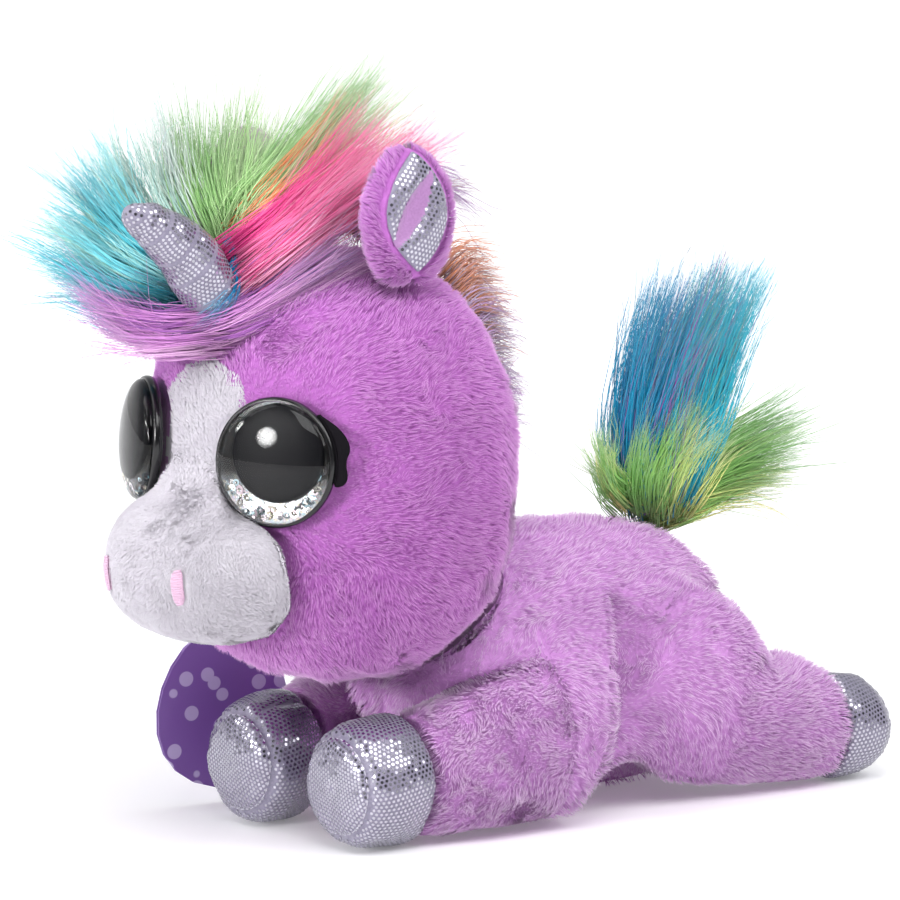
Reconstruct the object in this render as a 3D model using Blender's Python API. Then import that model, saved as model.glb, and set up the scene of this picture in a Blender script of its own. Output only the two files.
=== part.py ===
"""A plush unicorn lying on its belly, modelled as the pieces it is sewn from.

Frame: +Z up, the face looks along -Y, its left side is +X.  The origin lies on the flat of the
belly that rests on the table, below the shoulders.  Lengths below are in millimetres.
"""

import math

import bmesh
import bpy
from mathutils import Matrix, Vector

MM = 0.001
SIDES = ((1, "left"), (-1, "right"))

# --- fabric and sewing ---------------------------------------------------------------------------
PLUSH = 2.0                # thickness of the plush cloth with its backing
FOIL_CLOTH = 1.2           # thickness of the silver foil-dot cloth
FIT = 0.35                 # gap left between two pieces that touch
JOINT_ROOM = 1.3           # gap left between two pieces that move on each other
FACET_ROOM = 0.4           # extra gap where a fine surface meets a coarser copy of itself
BEYOND = 40.0              # reach of a cutter past the surface that it cuts

# --- head ----------------------------------------------------------------------------------------
HEAD = Vector((0.0, -58.0, 112.0))      # centre of the head, and of its turning in the neck
HEAD_SEMI = Vector((58.0, 51.5, 64.5))  # half width, half depth and half height
HEAD_POWER = 2.35                       # 2 is an ellipsoid, more is squarer
CHEEK_SWELL = 3.5
CHEEK_AT = Vector((0.80, -0.25, -0.55))
CHEEK_SPREAD = 0.45
HEAD_RINGS = 13
HEAD_SEGMENTS = 24
HOLLOW_RINGS = 11
HOLLOW_SEGMENTS = 18
FILLING_RINGS = 9
FILLING_SEGMENTS = 16
HEAD_FILLING_GAP = 2.2
SWEEP_RINGS = 11
SWEEP_SEGMENTS = 18
NECK_AXIS = Vector((0.0, 0.70, -0.714))
NECK_HOLE = 14.0           # radius of the opening under the head
NECK_WELL = 18.0           # radius of the opening in the trunk
NECK_WAD = 8.0             # radius of the wad of filling between the two
NECK_HOLE_SPAN = (30.0, 80.0)   # how far from the head's centre each neck cut starts and ends
NECK_SEAM_SPAN = (45.0, 78.0)
NECK_WELL_SPAN = (45.0, 74.0)
NECK_WAD_SPAN = (50.0, 71.5)
NECK_SEGMENTS = 20
NOD_RANGE = (-8.0, 8.0)
TURN_RANGE = (-18.0, 18.0)

# --- eyes ----------------------------------------------------------------------------------------
EYE_AT = Vector((29.8, -101.2, 119.8))
EYE_YAW = 26.0             # degrees that each eye looks outwards
EYE_TILT = 4.0             # degrees that each eye looks upwards
EYE_RADIUS = 18.4
EYE_SEAT_RADIUS = 19.0
EYE_DISH = 1.6
DISH_BEVEL = (1.0, 0.4)    # width and height
IRIS_RADIUS = 16.3
IRIS_THICK = 0.8
PUPIL_RADIUS = 12.4
PUPIL_RISE = 3.0
PUPIL_THICK = 0.7
LENS_RIM = 1.5
LENS_EDGE = 0.4            # height of the dome's upright edge
LENS_HEIGHT = 8.4
DOME_ANGLES = (0.0, 0.3, 0.6, 0.9, 1.2)
EYE_SEGMENTS = 18
SHANK_RADIUS = 2.4
SHANK_LENGTH = 13.0
SHANK_SEGMENTS = 10
WASHER_RADIUS = 8.0
WASHER_THICK = 1.6
WASHER_SEAT = 1.3          # how far inside the cloth the washer grips
WASHER_ROOM = 0.6
POCKET_DEPTH = 16.0
EYE_CUT_ABOVE = 3.0        # how far each cut behind an eye starts outside the cloth
EYE_ROOM_BELOW = 6.0
EYE_ROOM_SEGMENTS = 24
# distance from the eye's middle, and degrees up from its outer side
LASH_POINTS = [(19.4, 62.0), (22.4, 52.0), (24.7, 36.0), (20.2, 30.0), (23.8, 12.0), (19.4, 8.0),
               (19.0, 26.0), (19.0, 44.0)]
LASH_SPAN = (1.2, 2.4)

# --- blaze, muzzle and nostrils ------------------------------------------------------------------
BLAZE_OUTLINE = [(0.0, 147.5), (7.0, 145.0), (11.5, 138.0), (13.5, 128.0), (13.0, 116.0),
                 (16.5, 105.0), (24.0, 95.0)]
BLAZE_FOOT = 80.0
BLAZE_BACK = 78.0          # how far behind the face its cutting outline starts
PATCH_THICK = 1.0
MUZZLE = Vector((0.0, -101.5, 86.5))
MUZZLE_SEMI = Vector((33.5, 30.5, 23.0))
MUZZLE_POWER = 2.25
MUZZLE_RINGS = 9
MUZZLE_SEGMENTS = 18
MUZZLE_INNER_RINGS = 8
MUZZLE_INNER_SEGMENTS = 15
MUZZLE_FILLING_GAP = 1.6
FACE_REACH = 150.0         # a plane in front of the whole face
NOSTRIL_X = 15.0
NOSTRIL_Z = 84.5
NOSTRIL_HALF = (2.1, 5.6)
NOSTRIL_BACK = 110.0
STITCH_THICK = 0.7

# --- horn ----------------------------------------------------------------------------------------
HORN_BASE = Vector((0.0, -101.0, 166.0))
HORN_TIP = Vector((0.0, -133.0, 193.0))
HORN_RADIUS = 9.6
HORN_PROFILE = [(0.0, 0.95), (0.20, 1.0), (0.42, 0.93), (0.64, 0.78), (0.84, 0.55), (0.95, 0.36)]
HORN_BEND = 3.0
HORN_FOOT = 1.5            # how far the cloth starts inside the head before it is trimmed
HORN_HOLLOW = (-6.0, -2.4)      # start before the base, end before the tip
HORN_FILLING = (0.6, -3.6)
HORN_SEGMENTS = 16

# --- ears ----------------------------------------------------------------------------------------
EAR_PIVOT = Vector((37.0, -58.5, 174.5))
EAR_ROOT = 6.6             # radius of the rolled root that the ear folds about
EAR_PROFILE = [(-0.72, 4.4, 9.5), (0.0, 6.4, 13.0), (6.0, 7.4, 15.6), (14.0, 8.0, 17.2),
               (22.0, 7.2, 15.6), (29.0, 5.4, 11.0), (33.5, 3.4, 6.4)]
EAR_TIP = 36.0
EAR_SEGMENTS = 16
LINING_SPAN = (1.0, 14.0)  # how far out from the ear's middle the lining's outline reaches
LINING_THICK = 0.9
LINING_LEAF = [(-2.0, 0.0), (4.0, 7.0), (12.0, 11.5), (20.0, 10.5), (28.0, 5.5), (33.0, 0.0)]

# --- torso ---------------------------------------------------------------------------------------
# along the back: place y, height of the section's middle, half width, half height
TORSO_STATIONS = [(-36.0, 60.0, 17.0, 15.0), (-29.0, 56.0, 28.0, 26.0), (-15.0, 44.2, 37.0, 42.2),
                  (5.0, 42.7, 41.5, 45.3), (30.0, 42.0, 42.0, 44.8), (55.0, 41.0, 39.0, 43.6),
                  (75.0, 39.6, 33.0, 38.9), (90.0, 39.0, 23.0, 28.5), (97.0, 38.5, 13.0, 17.5)]
TORSO_ENDS = ((-40.0, 61.0), (100.0, 38.0))
TORSO_MIDDLE = (5.0, 55.0)
TORSO_SEGMENTS = 20
FLOOR_HALF = 110.0         # half size of the flat that trims the belly
FLOOR_DEPTH = 30.0
LEG_WALL = 11.0            # half width of the trunk between the legs
LEG_ROOM = [(-60.0, 47.0), (-44.0, 47.0), (-31.0, 50.5), (-16.0, 55.0), (0.0, 57.8), (14.0, 56.0),
            (26.0, 53.0), (38.0, 65.0), (48.0, 70.0), (58.0, 71.2), (72.0, 68.5), (85.0, 59.0),
            (97.0, 51.0), (125.0, 45.0), (125.0, -20.0), (-60.0, -20.0)]

# --- legs: joint centre, then stations of y, x, z, half width, half height ------------------------
SHOULDER = Vector((35.0, 0.0, 27.8))
FORELEG_STATIONS = [(22.8, 35.0, 27.8, 8.0, 9.8), (18.0, 35.0, 27.8, 13.4, 18.0),
                    (9.0, 35.0, 27.8, 18.0, 25.0), (-2.0, 35.0, 27.8, 19.5, 27.4),
                    (-16.0, 33.5, 25.9, 19.0, 25.6), (-31.0, 30.5, 22.5, 18.2, 22.4),
                    (-44.0, 27.4, 20.2, 17.4, 20.2), (-50.6, 26.0, 19.7, 16.6, 19.4)]
FORELEG_POLE = (24.4, 35.0, 27.8)
FORE_HOOF_STATIONS = [(-51.2, 25.9, 19.7, 16.8, 19.6), (-57.0, 25.0, 19.7, 18.6, 20.0),
                      (-65.0, 24.2, 19.6, 19.4, 19.9), (-71.5, 23.7, 19.5, 17.6, 18.2),
                      (-75.6, 23.5, 19.5, 12.5, 13.2)]
FORE_HOOF_POLE = (-77.2, 23.5, 19.5)
FORE_HOOF_MIDDLE = -64.0
HIP = Vector((37.0, 58.0, 36.0))
HINDLEG_STATIONS = [(28.0, 37.0, 36.0, 8.0, 11.6), (33.6, 37.0, 36.0, 13.0, 21.6),
                    (44.0, 37.0, 36.0, 18.0, 29.9), (58.0, 37.0, 36.0, 19.5, 33.0),
                    (72.0, 38.5, 32.0, 19.0, 30.2), (85.0, 40.2, 25.4, 18.0, 24.6),
                    (96.0, 41.6, 20.2, 17.0, 19.8), (105.5, 42.5, 17.3, 15.6, 17.2)]
HINDLEG_POLE = (26.2, 37.0, 36.0)
HIND_HOOF_STATIONS = [(106.1, 42.5, 17.2, 15.7, 17.2), (113.0, 43.0, 16.6, 16.3, 16.6),
                      (120.5, 43.4, 16.2, 15.6, 16.0), (126.0, 43.6, 16.0, 11.5, 12.0)]
HIND_HOOF_POLE = (128.6, 43.6, 16.0)
HIND_HOOF_MIDDLE = 115.0
LEG_SEGMENTS = 14
SEAM_REACH = 4.0           # how far a hollow reaches out through the open seam

# --- hair: each tuft is a spine of points with a radius at each -----------------------------------
TUFT_SEGMENTS = 8
TUFT_REFERENCE = Vector((0.3, -0.2, 0.93))     # keeps the sections of a tuft from twisting
TUFT_ROOT_ROUND = 0.6
TUFTS = {
    "forelock_cyan": [((-18.0, -98.0, 170.0), 4.5), ((-27.0, -107.0, 174.0), 8.5),
                      ((-38.0, -117.0, 172.0), 7.0), ((-49.0, -125.0, 167.0), 1.2)],
    "forelock_aqua": [((-10.0, -93.0, 181.0), 4.5), ((-16.0, -103.0, 190.0), 7.0),
                      ((-22.0, -112.0, 199.0), 6.0), ((-28.0, -121.0, 207.0), 1.2)],
    "forelock_green": [((-4.0, -76.0, 182.0), 5.5), ((-3.0, -75.0, 194.0), 9.0),
                       ((2.0, -65.0, 209.0), 7.0), ((9.0, -48.0, 221.0), 1.2)],
    "forelock_orange": [((12.5, -87.0, 180.0), 4.5), ((16.0, -84.0, 188.0), 7.0),
                        ((18.0, -75.0, 197.0), 5.5), ((19.0, -62.0, 205.0), 1.2)],
    "forelock_pink": [((17.5, -99.0, 171.0), 4.5), ((24.0, -101.0, 176.0), 7.0),
                      ((30.0, -94.0, 183.0), 5.5), ((35.0, -84.0, 191.0), 1.2)],
    "forelock_lilac": [((-24.0, -112.0, 157.0), 2.0), ((-9.0, -118.0, 157.0), 5.0),
                       ((9.0, -117.0, 158.0), 5.0), ((25.0, -108.0, 162.0), 2.0)],
    "crown_tuft": [((-2.0, -48.0, 183.0), 5.5), ((-2.0, -40.0, 188.0), 7.5),
                   ((-2.0, -27.0, 186.0), 6.0), ((-2.0, -14.0, 177.0), 1.5)],
    "nape_tuft": [((0.0, -9.0, 158.0), 4.0), ((0.0, -1.0, 151.0), 6.5),
                  ((0.0, 6.0, 137.0), 6.0), ((0.0, 9.0, 119.0), 1.5)],
}
TUFT_COLOURS = {
    "forelock_cyan": (0.02, 0.48, 0.72), "forelock_aqua": (0.45, 0.75, 0.85),
    "forelock_green": (0.25, 0.62, 0.16), "forelock_orange": (0.92, 0.30, 0.10),
    "forelock_pink": (0.95, 0.12, 0.42), "forelock_lilac": (0.62, 0.30, 0.66),
    "crown_tuft": (0.40, 0.20, 0.60), "nape_tuft": (0.85, 0.32, 0.16),
}
TAIL_PIVOT = Vector((0.0, 73.0, 91.5))
TAIL_ROOT = 8.0
TAIL_ROOT_RINGS = 7
TAIL_ROOT_SEGMENTS = 12
TAIL_LOBES = {
    "tail_hair_blue": [((0.0, 75.0, 102.5), 4.0), ((0.0, 80.0, 111.0), 11.0), ((0.0, 88.0, 125.0), 13.0),
                       ((0.0, 96.0, 142.0), 10.5), ((0.0, 104.0, 158.0), 6.0), ((0.0, 112.0, 172.0), 1.2)],
    "tail_hair_green": [((0.0, 84.0, 94.0), 3.5), ((0.0, 94.0, 98.5), 6.5),
                        ((0.0, 107.0, 104.0), 5.5), ((0.0, 121.0, 110.0), 1.2)],
    "tail_hair_lime": [((0.0, 63.0, 97.0), 3.0), ((0.0, 57.5, 101.0), 5.0),
                       ((0.0, 52.0, 108.0), 4.0), ((0.0, 49.0, 116.0), 1.0)],
}
TAIL_ROOT_COLOUR = (0.45, 0.60, 0.12)
TAIL_COLOURS = {
    "tail_hair_blue": (0.02, 0.40, 0.66), "tail_hair_green": (0.33, 0.62, 0.20),
    "tail_hair_lime": (0.60, 0.68, 0.16),
}

# --- hang tag ------------------------------------------------------------------------------------
TAG_HOLE_AT = Vector((-54.5, -55.0, 51.0))
TAG_YAW = 75.0             # degrees that the card's face looks towards the unicorn's left
TAG_HALF_WIDTH = 22.0
TAG_ABOVE_HOLE = 4.0
TAG_LENGTH = 50.5
TAG_THICK = 0.5
TAG_LEAF_GAP = 0.7
TAG_FOLD_DROP = 3.2        # the two leaves are one above this drop below the hole
TAG_NARROWING = 0.14       # how much narrower the egg is at its top
TAG_SEGMENTS = 22
TAG_HOLE = 1.6
TAG_WIRE = 0.45
TAG_WIRE_SIDES = 6
TAG_BEND_STEPS = 6
TAG_LOOP_HALF = 3.0
TAG_LOOP_LENGTH = 41.0
TAG_LOOP_TURN = 6.0        # degrees between the loop and the card's face, towards the trunk

# --- colours -------------------------------------------------------------------------------------
LILAC = (0.55, 0.22, 0.63)
PALE_PILE = (0.78, 0.74, 0.80)
SILVER = (0.62, 0.61, 0.68)
FIBREFILL = (0.90, 0.90, 0.88)
BLACK = (0.012, 0.012, 0.014)
NOSTRIL_PINK = (0.80, 0.52, 0.66)
TAG_PURPLE = (0.22, 0.07, 0.36)
CLEAR_PLASTIC = (0.85, 0.85, 0.87)


def clear_scene():
    for item in list(bpy.data.objects):
        bpy.data.objects.remove(item, do_unlink=True)


def material(name, colour, roughness=0.9, metallic=0.0, alpha=1.0):
    """One Principled material."""
    made = bpy.data.materials.new(name)
    made.use_nodes = True
    shader = made.node_tree.nodes["Principled BSDF"]
    shader.inputs["Base Color"].default_value = (*colour, 1.0)
    shader.inputs["Roughness"].default_value = roughness
    shader.inputs["Metallic"].default_value = metallic
    shader.inputs["Alpha"].default_value = alpha
    return made


def new_object(name, points, faces, colour=None, pivot=Vector((0, 0, 0)), **finish):
    """A mesh object from points in millimetres, with its origin on the pivot."""
    data = bpy.data.meshes.new(name)
    data.from_pydata([(Vector(point) - pivot) * MM for point in points], [], faces)
    shape = bmesh.new()
    shape.from_mesh(data)
    bmesh.ops.recalc_face_normals(shape, faces=shape.faces)
    bmesh.ops.triangulate(shape, faces=shape.faces)
    shape.to_mesh(data)
    shape.free()
    data.shade_smooth()
    item = bpy.data.objects.new(name, data)
    item.location = pivot * MM
    bpy.context.collection.objects.link(item)
    if colour is not None:
        data.materials.append(material(name, colour, **finish))
    return item


def as_cutter(item):
    """Mark an object as a guide that only shapes others."""
    item.hide_render = True
    item.display_type = "WIRE"
    return item


def subtract(item, cutter, operation="DIFFERENCE"):
    """Cut a guide out of an object, with a live Boolean."""
    step = item.modifiers.new(operation.lower(), "BOOLEAN")
    step.operation = operation
    step.solver = "EXACT"
    step.object = cutter
    return item


def sphere_faces(rings, segments):
    """Faces of a ball: pole 0, rings of points, pole last."""
    last = rings * segments + 1
    faces = []
    for j in range(segments):
        k = (j + 1) % segments
        faces.append((0, 1 + j, 1 + k))
        for i in range(rings - 1):
            low = 1 + i * segments
            high = low + segments
            faces.append((low + j, high + j, high + k, low + k))
        low = 1 + (rings - 1) * segments
        faces.append((last, low + k, low + j))
    return faces


def star_ball(name, centre, radius_of, rings, segments, **options):
    """A ball whose radius is a function of direction, with its poles along Z."""
    directions = [Vector((0, 0, 1))]
    for i in range(1, rings + 1):
        polar = math.pi * i / (rings + 1)
        for j in range(segments):
            turn = 2 * math.pi * j / segments
            directions.append(Vector((math.sin(polar) * math.sin(turn), -math.sin(polar) * math.cos(turn),
                                      math.cos(polar))))
    directions.append(Vector((0, 0, -1)))
    points = [centre + way * radius_of(way) for way in directions]
    return new_object(name, points, sphere_faces(rings, segments), **options)


def section_ring(centre, half_u, half_v, u_way, v_way, segments):
    """The points of one elliptical section."""
    ring = []
    for j in range(segments):
        turn = 2 * math.pi * j / segments
        ring.append(centre + u_way * (half_u * math.cos(turn)) + v_way * (half_v * math.sin(turn)))
    return ring


def loft(name, sections, poles, segments, **options):
    """A closed skin through elliptical sections, (centre, half_u, half_v, u_way, v_way), and two poles."""
    points = [poles[0]]
    for centre, half_u, half_v, u_way, v_way in sections:
        points += section_ring(centre, half_u, half_v, u_way, v_way, segments)
    points.append(poles[1])
    return new_object(name, points, sphere_faces(len(sections), segments), **options)


def prism(name, outline, low, high, place, **options):
    """An outline of (u, v) points pushed out between two heights, set in place by a matrix."""
    count = len(outline)
    points = [place @ Vector((u, v, low)) for u, v in outline]
    points += [place @ Vector((u, v, high)) for u, v in outline]
    faces = [tuple(range(count - 1, -1, -1)), tuple(range(count, 2 * count))]
    for j in range(count):
        k = (j + 1) % count
        faces.append((j, k, k + count, j + count))
    return new_object(name, points, faces, **options)


def turned(name, profile, segments, place, **options):
    """A profile of (radius, height) points turned about its own axis, closed at both ends on the axis."""
    middle = profile[1:-1]
    points = [place @ Vector((0, 0, profile[0][1]))]
    for radius, height in middle:
        for j in range(segments):
            turn = 2 * math.pi * j / segments
            points.append(place @ Vector((radius * math.cos(turn), radius * math.sin(turn), height)))
    points.append(place @ Vector((0, 0, profile[-1][1])))
    return new_object(name, points, sphere_faces(len(middle), segments), **options)


def turned_ring(name, profile, segments, place, **options):
    """A closed profile of (radius, height) points turned into a ring."""
    count = len(profile)
    points = []
    faces = []
    for j in range(segments):
        turn = 2 * math.pi * j / segments
        for radius, height in profile:
            points.append(place @ Vector((radius * math.cos(turn), radius * math.sin(turn), height)))
    for j in range(segments):
        k = (j + 1) % segments
        for i in range(count):
            n = (i + 1) % count
            faces.append((j * count + i, k * count + i, k * count + n, j * count + n))
    return new_object(name, points, faces, **options)


def circle(radius, segments, centre=(0.0, 0.0)):
    return [(centre[0] + radius * math.cos(2 * math.pi * j / segments),
             centre[1] + radius * math.sin(2 * math.pi * j / segments)) for j in range(segments)]


def looking(position, way):
    """A matrix whose Z looks along a way, with its Y as near to up as can be."""
    z_way = way.normalized()
    x_way = Vector((0, 0, 1)).cross(z_way).normalized()
    y_way = z_way.cross(x_way)
    turn = Matrix((x_way, y_way, z_way)).transposed().to_4x4()
    return Matrix.Translation(position) @ turn


def squared_radius(way, semi, power):
    """Distance to a squared-off ellipsoid along a unit way."""
    return sum(abs(way[k] / semi[k]) ** power for k in range(3)) ** (-1.0 / power)


# --- head -----------------------------------------------------------------------------------------
def eye_way(side):
    yaw = math.radians(EYE_YAW)
    tilt = math.radians(EYE_TILT)
    return Vector((side * math.sin(yaw) * math.cos(tilt), -math.cos(yaw) * math.cos(tilt), math.sin(tilt)))


def eye_seat(side):
    """How far from the head's centre the flat seat of an eye lies, along the eye's own way."""
    return (Vector((side * EYE_AT.x, EYE_AT.y, EYE_AT.z)) - HEAD).dot(eye_way(side))


def eye_place(side):
    """The eye's own frame: origin on its seat, Z looking out, Y up."""
    return looking(Vector((side * EYE_AT.x, EYE_AT.y, EYE_AT.z)), eye_way(side))


def head_radius(way, grow=0.0):
    """Distance from the head's centre to its cloth, along a unit way."""
    radius = squared_radius(way, HEAD_SEMI, HEAD_POWER)
    for side in (-1, 1):
        cheek = Vector((side * CHEEK_AT.x, CHEEK_AT.y, CHEEK_AT.z)).normalized()
        radius += CHEEK_SWELL * math.exp(-((way - cheek).length / CHEEK_SPREAD) ** 2)
    radius += grow
    for side in (-1, 1):
        facing = way.dot(eye_way(side))
        if facing > 0.5:
            radius = min(radius, (eye_seat(side) + grow) / facing)
    return radius


def head_shell(name, grow, rings, segments, **options):
    return star_ball(name, HEAD, lambda way: head_radius(way, grow), rings, segments, **options)


def head_sweep(name, grow):
    """Everything the head passes through as it nods and turns."""
    turns = []
    for nod in (NOD_RANGE[0], 0.0, NOD_RANGE[1]):
        for turn in (TURN_RANGE[0], TURN_RANGE[0] / 2, 0.0, TURN_RANGE[1] / 2, TURN_RANGE[1]):
            both = Matrix.Rotation(math.radians(nod), 3, "X") @ Matrix.Rotation(math.radians(turn), 3, "Z")
            turns.append(both.inverted())
    def radius_of(way):
        return max(head_radius(back @ way, grow) for back in turns)
    return as_cutter(star_ball(name, HEAD, radius_of, SWEEP_RINGS, SWEEP_SEGMENTS))


def neck_cutter(name, radius, span):
    return as_cutter(prism(name, circle(radius, NECK_SEGMENTS), *span, looking(HEAD, NECK_AXIS)))


def build_head():
    skin = head_shell("head_skin", 0.0, HEAD_RINGS, HEAD_SEGMENTS, colour=LILAC, pivot=HEAD)
    subtract(skin, as_cutter(head_shell("head_hollow", -PLUSH, HOLLOW_RINGS, HOLLOW_SEGMENTS)))
    subtract(skin, neck_cutter("head_neck_hole", NECK_HOLE, NECK_HOLE_SPAN))
    stuffing = head_shell("head_stuffing", -PLUSH - HEAD_FILLING_GAP, FILLING_RINGS, FILLING_SEGMENTS,
                          colour=FIBREFILL, pivot=HEAD)
    for side, tag in SIDES:
        seat = eye_place(side)
        around = circle(SHANK_RADIUS + FIT, SHANK_SEGMENTS)
        subtract(skin, as_cutter(prism("shank_hole_" + tag, around, -SHANK_LENGTH, EYE_CUT_ABOVE, seat)))
        around = circle(WASHER_RADIUS + WASHER_ROOM, EYE_SEGMENTS)
        pocket = prism("shank_pocket_" + tag, around, -POCKET_DEPTH, EYE_CUT_ABOVE, seat)
        subtract(stuffing, as_cutter(pocket))
        build_eye(side, tag, seat)


def build_eye(side, tag, seat):
    """Backing dish with its shank, glitter disc, pupil, clear dome, and the washer that locks it."""
    seg = EYE_SEGMENTS
    z = FIT
    dish = [(0.0, z + EYE_DISH), (EYE_RADIUS, z + EYE_DISH), (EYE_RADIUS, z + DISH_BEVEL[1]),
            (EYE_RADIUS - DISH_BEVEL[0], z), (SHANK_RADIUS, z), (SHANK_RADIUS, -SHANK_LENGTH),
            (0.0, -SHANK_LENGTH)]
    turned("eye_back_" + tag, dish, seg, seat, colour=BLACK, roughness=0.35)
    z += EYE_DISH + FIT
    disc = [(0.0, z + IRIS_THICK), (IRIS_RADIUS, z + IRIS_THICK), (IRIS_RADIUS, z), (0.0, z)]
    turned("eye_glitter_" + tag, disc, seg, seat, colour=SILVER, roughness=0.25, metallic=0.8)
    rim = z
    z += IRIS_THICK + FIT
    raised = seat @ Matrix.Translation((0, PUPIL_RISE, 0))
    disc = [(0.0, z + PUPIL_THICK), (PUPIL_RADIUS, z + PUPIL_THICK), (PUPIL_RADIUS, z), (0.0, z)]
    turned("eye_pupil_" + tag, disc, seg, raised, colour=BLACK, roughness=0.08)
    z += PUPIL_THICK + FIT
    inside = EYE_RADIUS - LENS_RIM
    dome = [(EYE_RADIUS * math.cos(turn), z + LENS_EDGE + (LENS_HEIGHT - z) * math.sin(turn))
            for turn in DOME_ANGLES]
    lens = [(0.0, z), (inside, z), (inside, rim), (EYE_RADIUS, rim)] + dome + [(0.0, LENS_HEIGHT + LENS_EDGE)]
    turned("eye_lens_" + tag, lens, seg, seat, colour=CLEAR_PLASTIC, roughness=0.03, alpha=0.3)
    outer = WASHER_RADIUS
    inner = SHANK_RADIUS + FIT
    top = -PLUSH - WASHER_SEAT
    low = top - WASHER_THICK
    ring = [(inner, low), (outer, low), (outer, top), (inner, top)]
    turned_ring("eye_washer_" + tag, ring, EYE_SEGMENTS, seat, colour=CLEAR_PLASTIC, roughness=0.4)
    outline = []
    for reach, angle in LASH_POINTS:
        turn = math.radians(angle)
        outline.append((side * reach * math.cos(turn), reach * math.sin(turn)))
    prism("eyelash_" + tag, outline, *LASH_SPAN, seat, colour=BLACK)


def muzzle_shell(name, grow, rings=MUZZLE_RINGS, segments=MUZZLE_SEGMENTS, **options):
    def radius_of(way):
        return squared_radius(way, MUZZLE_SEMI, MUZZLE_POWER) + grow
    return star_ball(name, MUZZLE, radius_of, rings, segments, **options)


def head_bed(name, grow=FIT):
    """A copy of the head that trims whatever is sewn onto it."""
    return as_cutter(head_shell(name, grow, HEAD_RINGS, HEAD_SEGMENTS))


def front_plane():
    """A matrix that stands (x, z) outlines up across the face, with heights counted forwards."""
    return Matrix(((1, 0, 0, 0), (0, 0, -1, 0), (0, 1, 0, 0), (0, 0, 0, 1)))


def eye_room(name, side):
    around = circle(EYE_SEAT_RADIUS + FACET_ROOM, EYE_ROOM_SEGMENTS)
    return as_cutter(prism(name, around, -EYE_ROOM_BELOW, BEYOND, eye_place(side)))


def build_blaze():
    """The pale patch down the face, sewn flat onto the head between the eyes."""
    outline = [(-x, z) for x, z in reversed(BLAZE_OUTLINE[1:])] + BLAZE_OUTLINE
    foot_half = BLAZE_OUTLINE[-1][0]
    outline += [(foot_half, BLAZE_FOOT), (-foot_half, BLAZE_FOOT)]
    blaze = prism("blaze_patch", outline, BLAZE_BACK, FACE_REACH, front_plane(), colour=PALE_PILE)
    subtract(blaze, head_bed("blaze_top", FIT + PATCH_THICK), "INTERSECT")
    subtract(blaze, head_bed("blaze_bed"))
    for side, tag in SIDES:
        subtract(blaze, eye_room("blaze_eye_room_" + tag, side))
    subtract(blaze, as_cutter(muzzle_shell("blaze_foot", FIT)))


def build_muzzle():
    """The muzzle with its filling."""
    skin = muzzle_shell("muzzle_skin", 0.0, colour=PALE_PILE)
    subtract(skin, head_bed("muzzle_bed"))
    inner = (MUZZLE_INNER_RINGS, MUZZLE_INNER_SEGMENTS)
    subtract(skin, as_cutter(muzzle_shell("muzzle_hollow", -PLUSH, *inner)))
    stuffing = muzzle_shell("muzzle_stuffing", -PLUSH - MUZZLE_FILLING_GAP, *inner, colour=FIBREFILL)
    for side, tag in SIDES:
        clear = eye_room("muzzle_eye_room_" + tag, side)
        subtract(skin, clear)
        subtract(stuffing, clear)
    subtract(stuffing, head_bed("muzzle_stuffing_bed", FIT + FACET_ROOM))


def build_nostril(side, tag):
    """A satin-stitched oval that lies on the muzzle's cloth."""
    oval = [(side * NOSTRIL_X + NOSTRIL_HALF[0] * u, NOSTRIL_Z + NOSTRIL_HALF[1] * v)
            for u, v in circle(1.0, 12)]
    pad = prism("nostril_" + tag, oval, NOSTRIL_BACK, FACE_REACH, front_plane(),
                colour=NOSTRIL_PINK, roughness=0.5)
    subtract(pad, as_cutter(muzzle_shell("nostril_top_" + tag, FIT + STITCH_THICK)), "INTERSECT")
    subtract(pad, as_cutter(muzzle_shell("nostril_bed_" + tag, FIT)))


def build_horn():
    """A stuffed cone of foil cloth on the forehead, bent a little towards the face."""
    axis = HORN_TIP - HORN_BASE
    length = axis.length
    way = axis.normalized()
    side_way = Vector((1, 0, 0))
    lift = way.cross(side_way)

    def cone(name, grow, first, last, **options):
        sections = []
        for along, swell in HORN_PROFILE if grow == 0 else HORN_PROFILE[:-1]:
            bend = lift * (HORN_BEND * math.sin(math.pi * along))
            centre = HORN_BASE + way * (length * along) + bend
            radius = HORN_RADIUS * swell + grow
            sections.append((centre, radius, radius, side_way, lift))
        poles = (HORN_BASE + way * first, HORN_TIP + way * last)
        return loft(name, sections, poles, HORN_SEGMENTS, **options)

    skin = cone("horn_skin", 0.0, -HORN_FOOT, 0.0, colour=SILVER, roughness=0.35, metallic=0.3)
    subtract(skin, head_bed("horn_bed"))
    subtract(skin, as_cutter(cone("horn_hollow", -FOIL_CLOTH, *HORN_HOLLOW)))
    filling = cone("horn_stuffing", -FOIL_CLOTH - 2 * FIT, *HORN_FILLING, colour=FIBREFILL)
    subtract(filling, head_bed("horn_filling_bed", FIT + FACET_ROOM))


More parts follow.
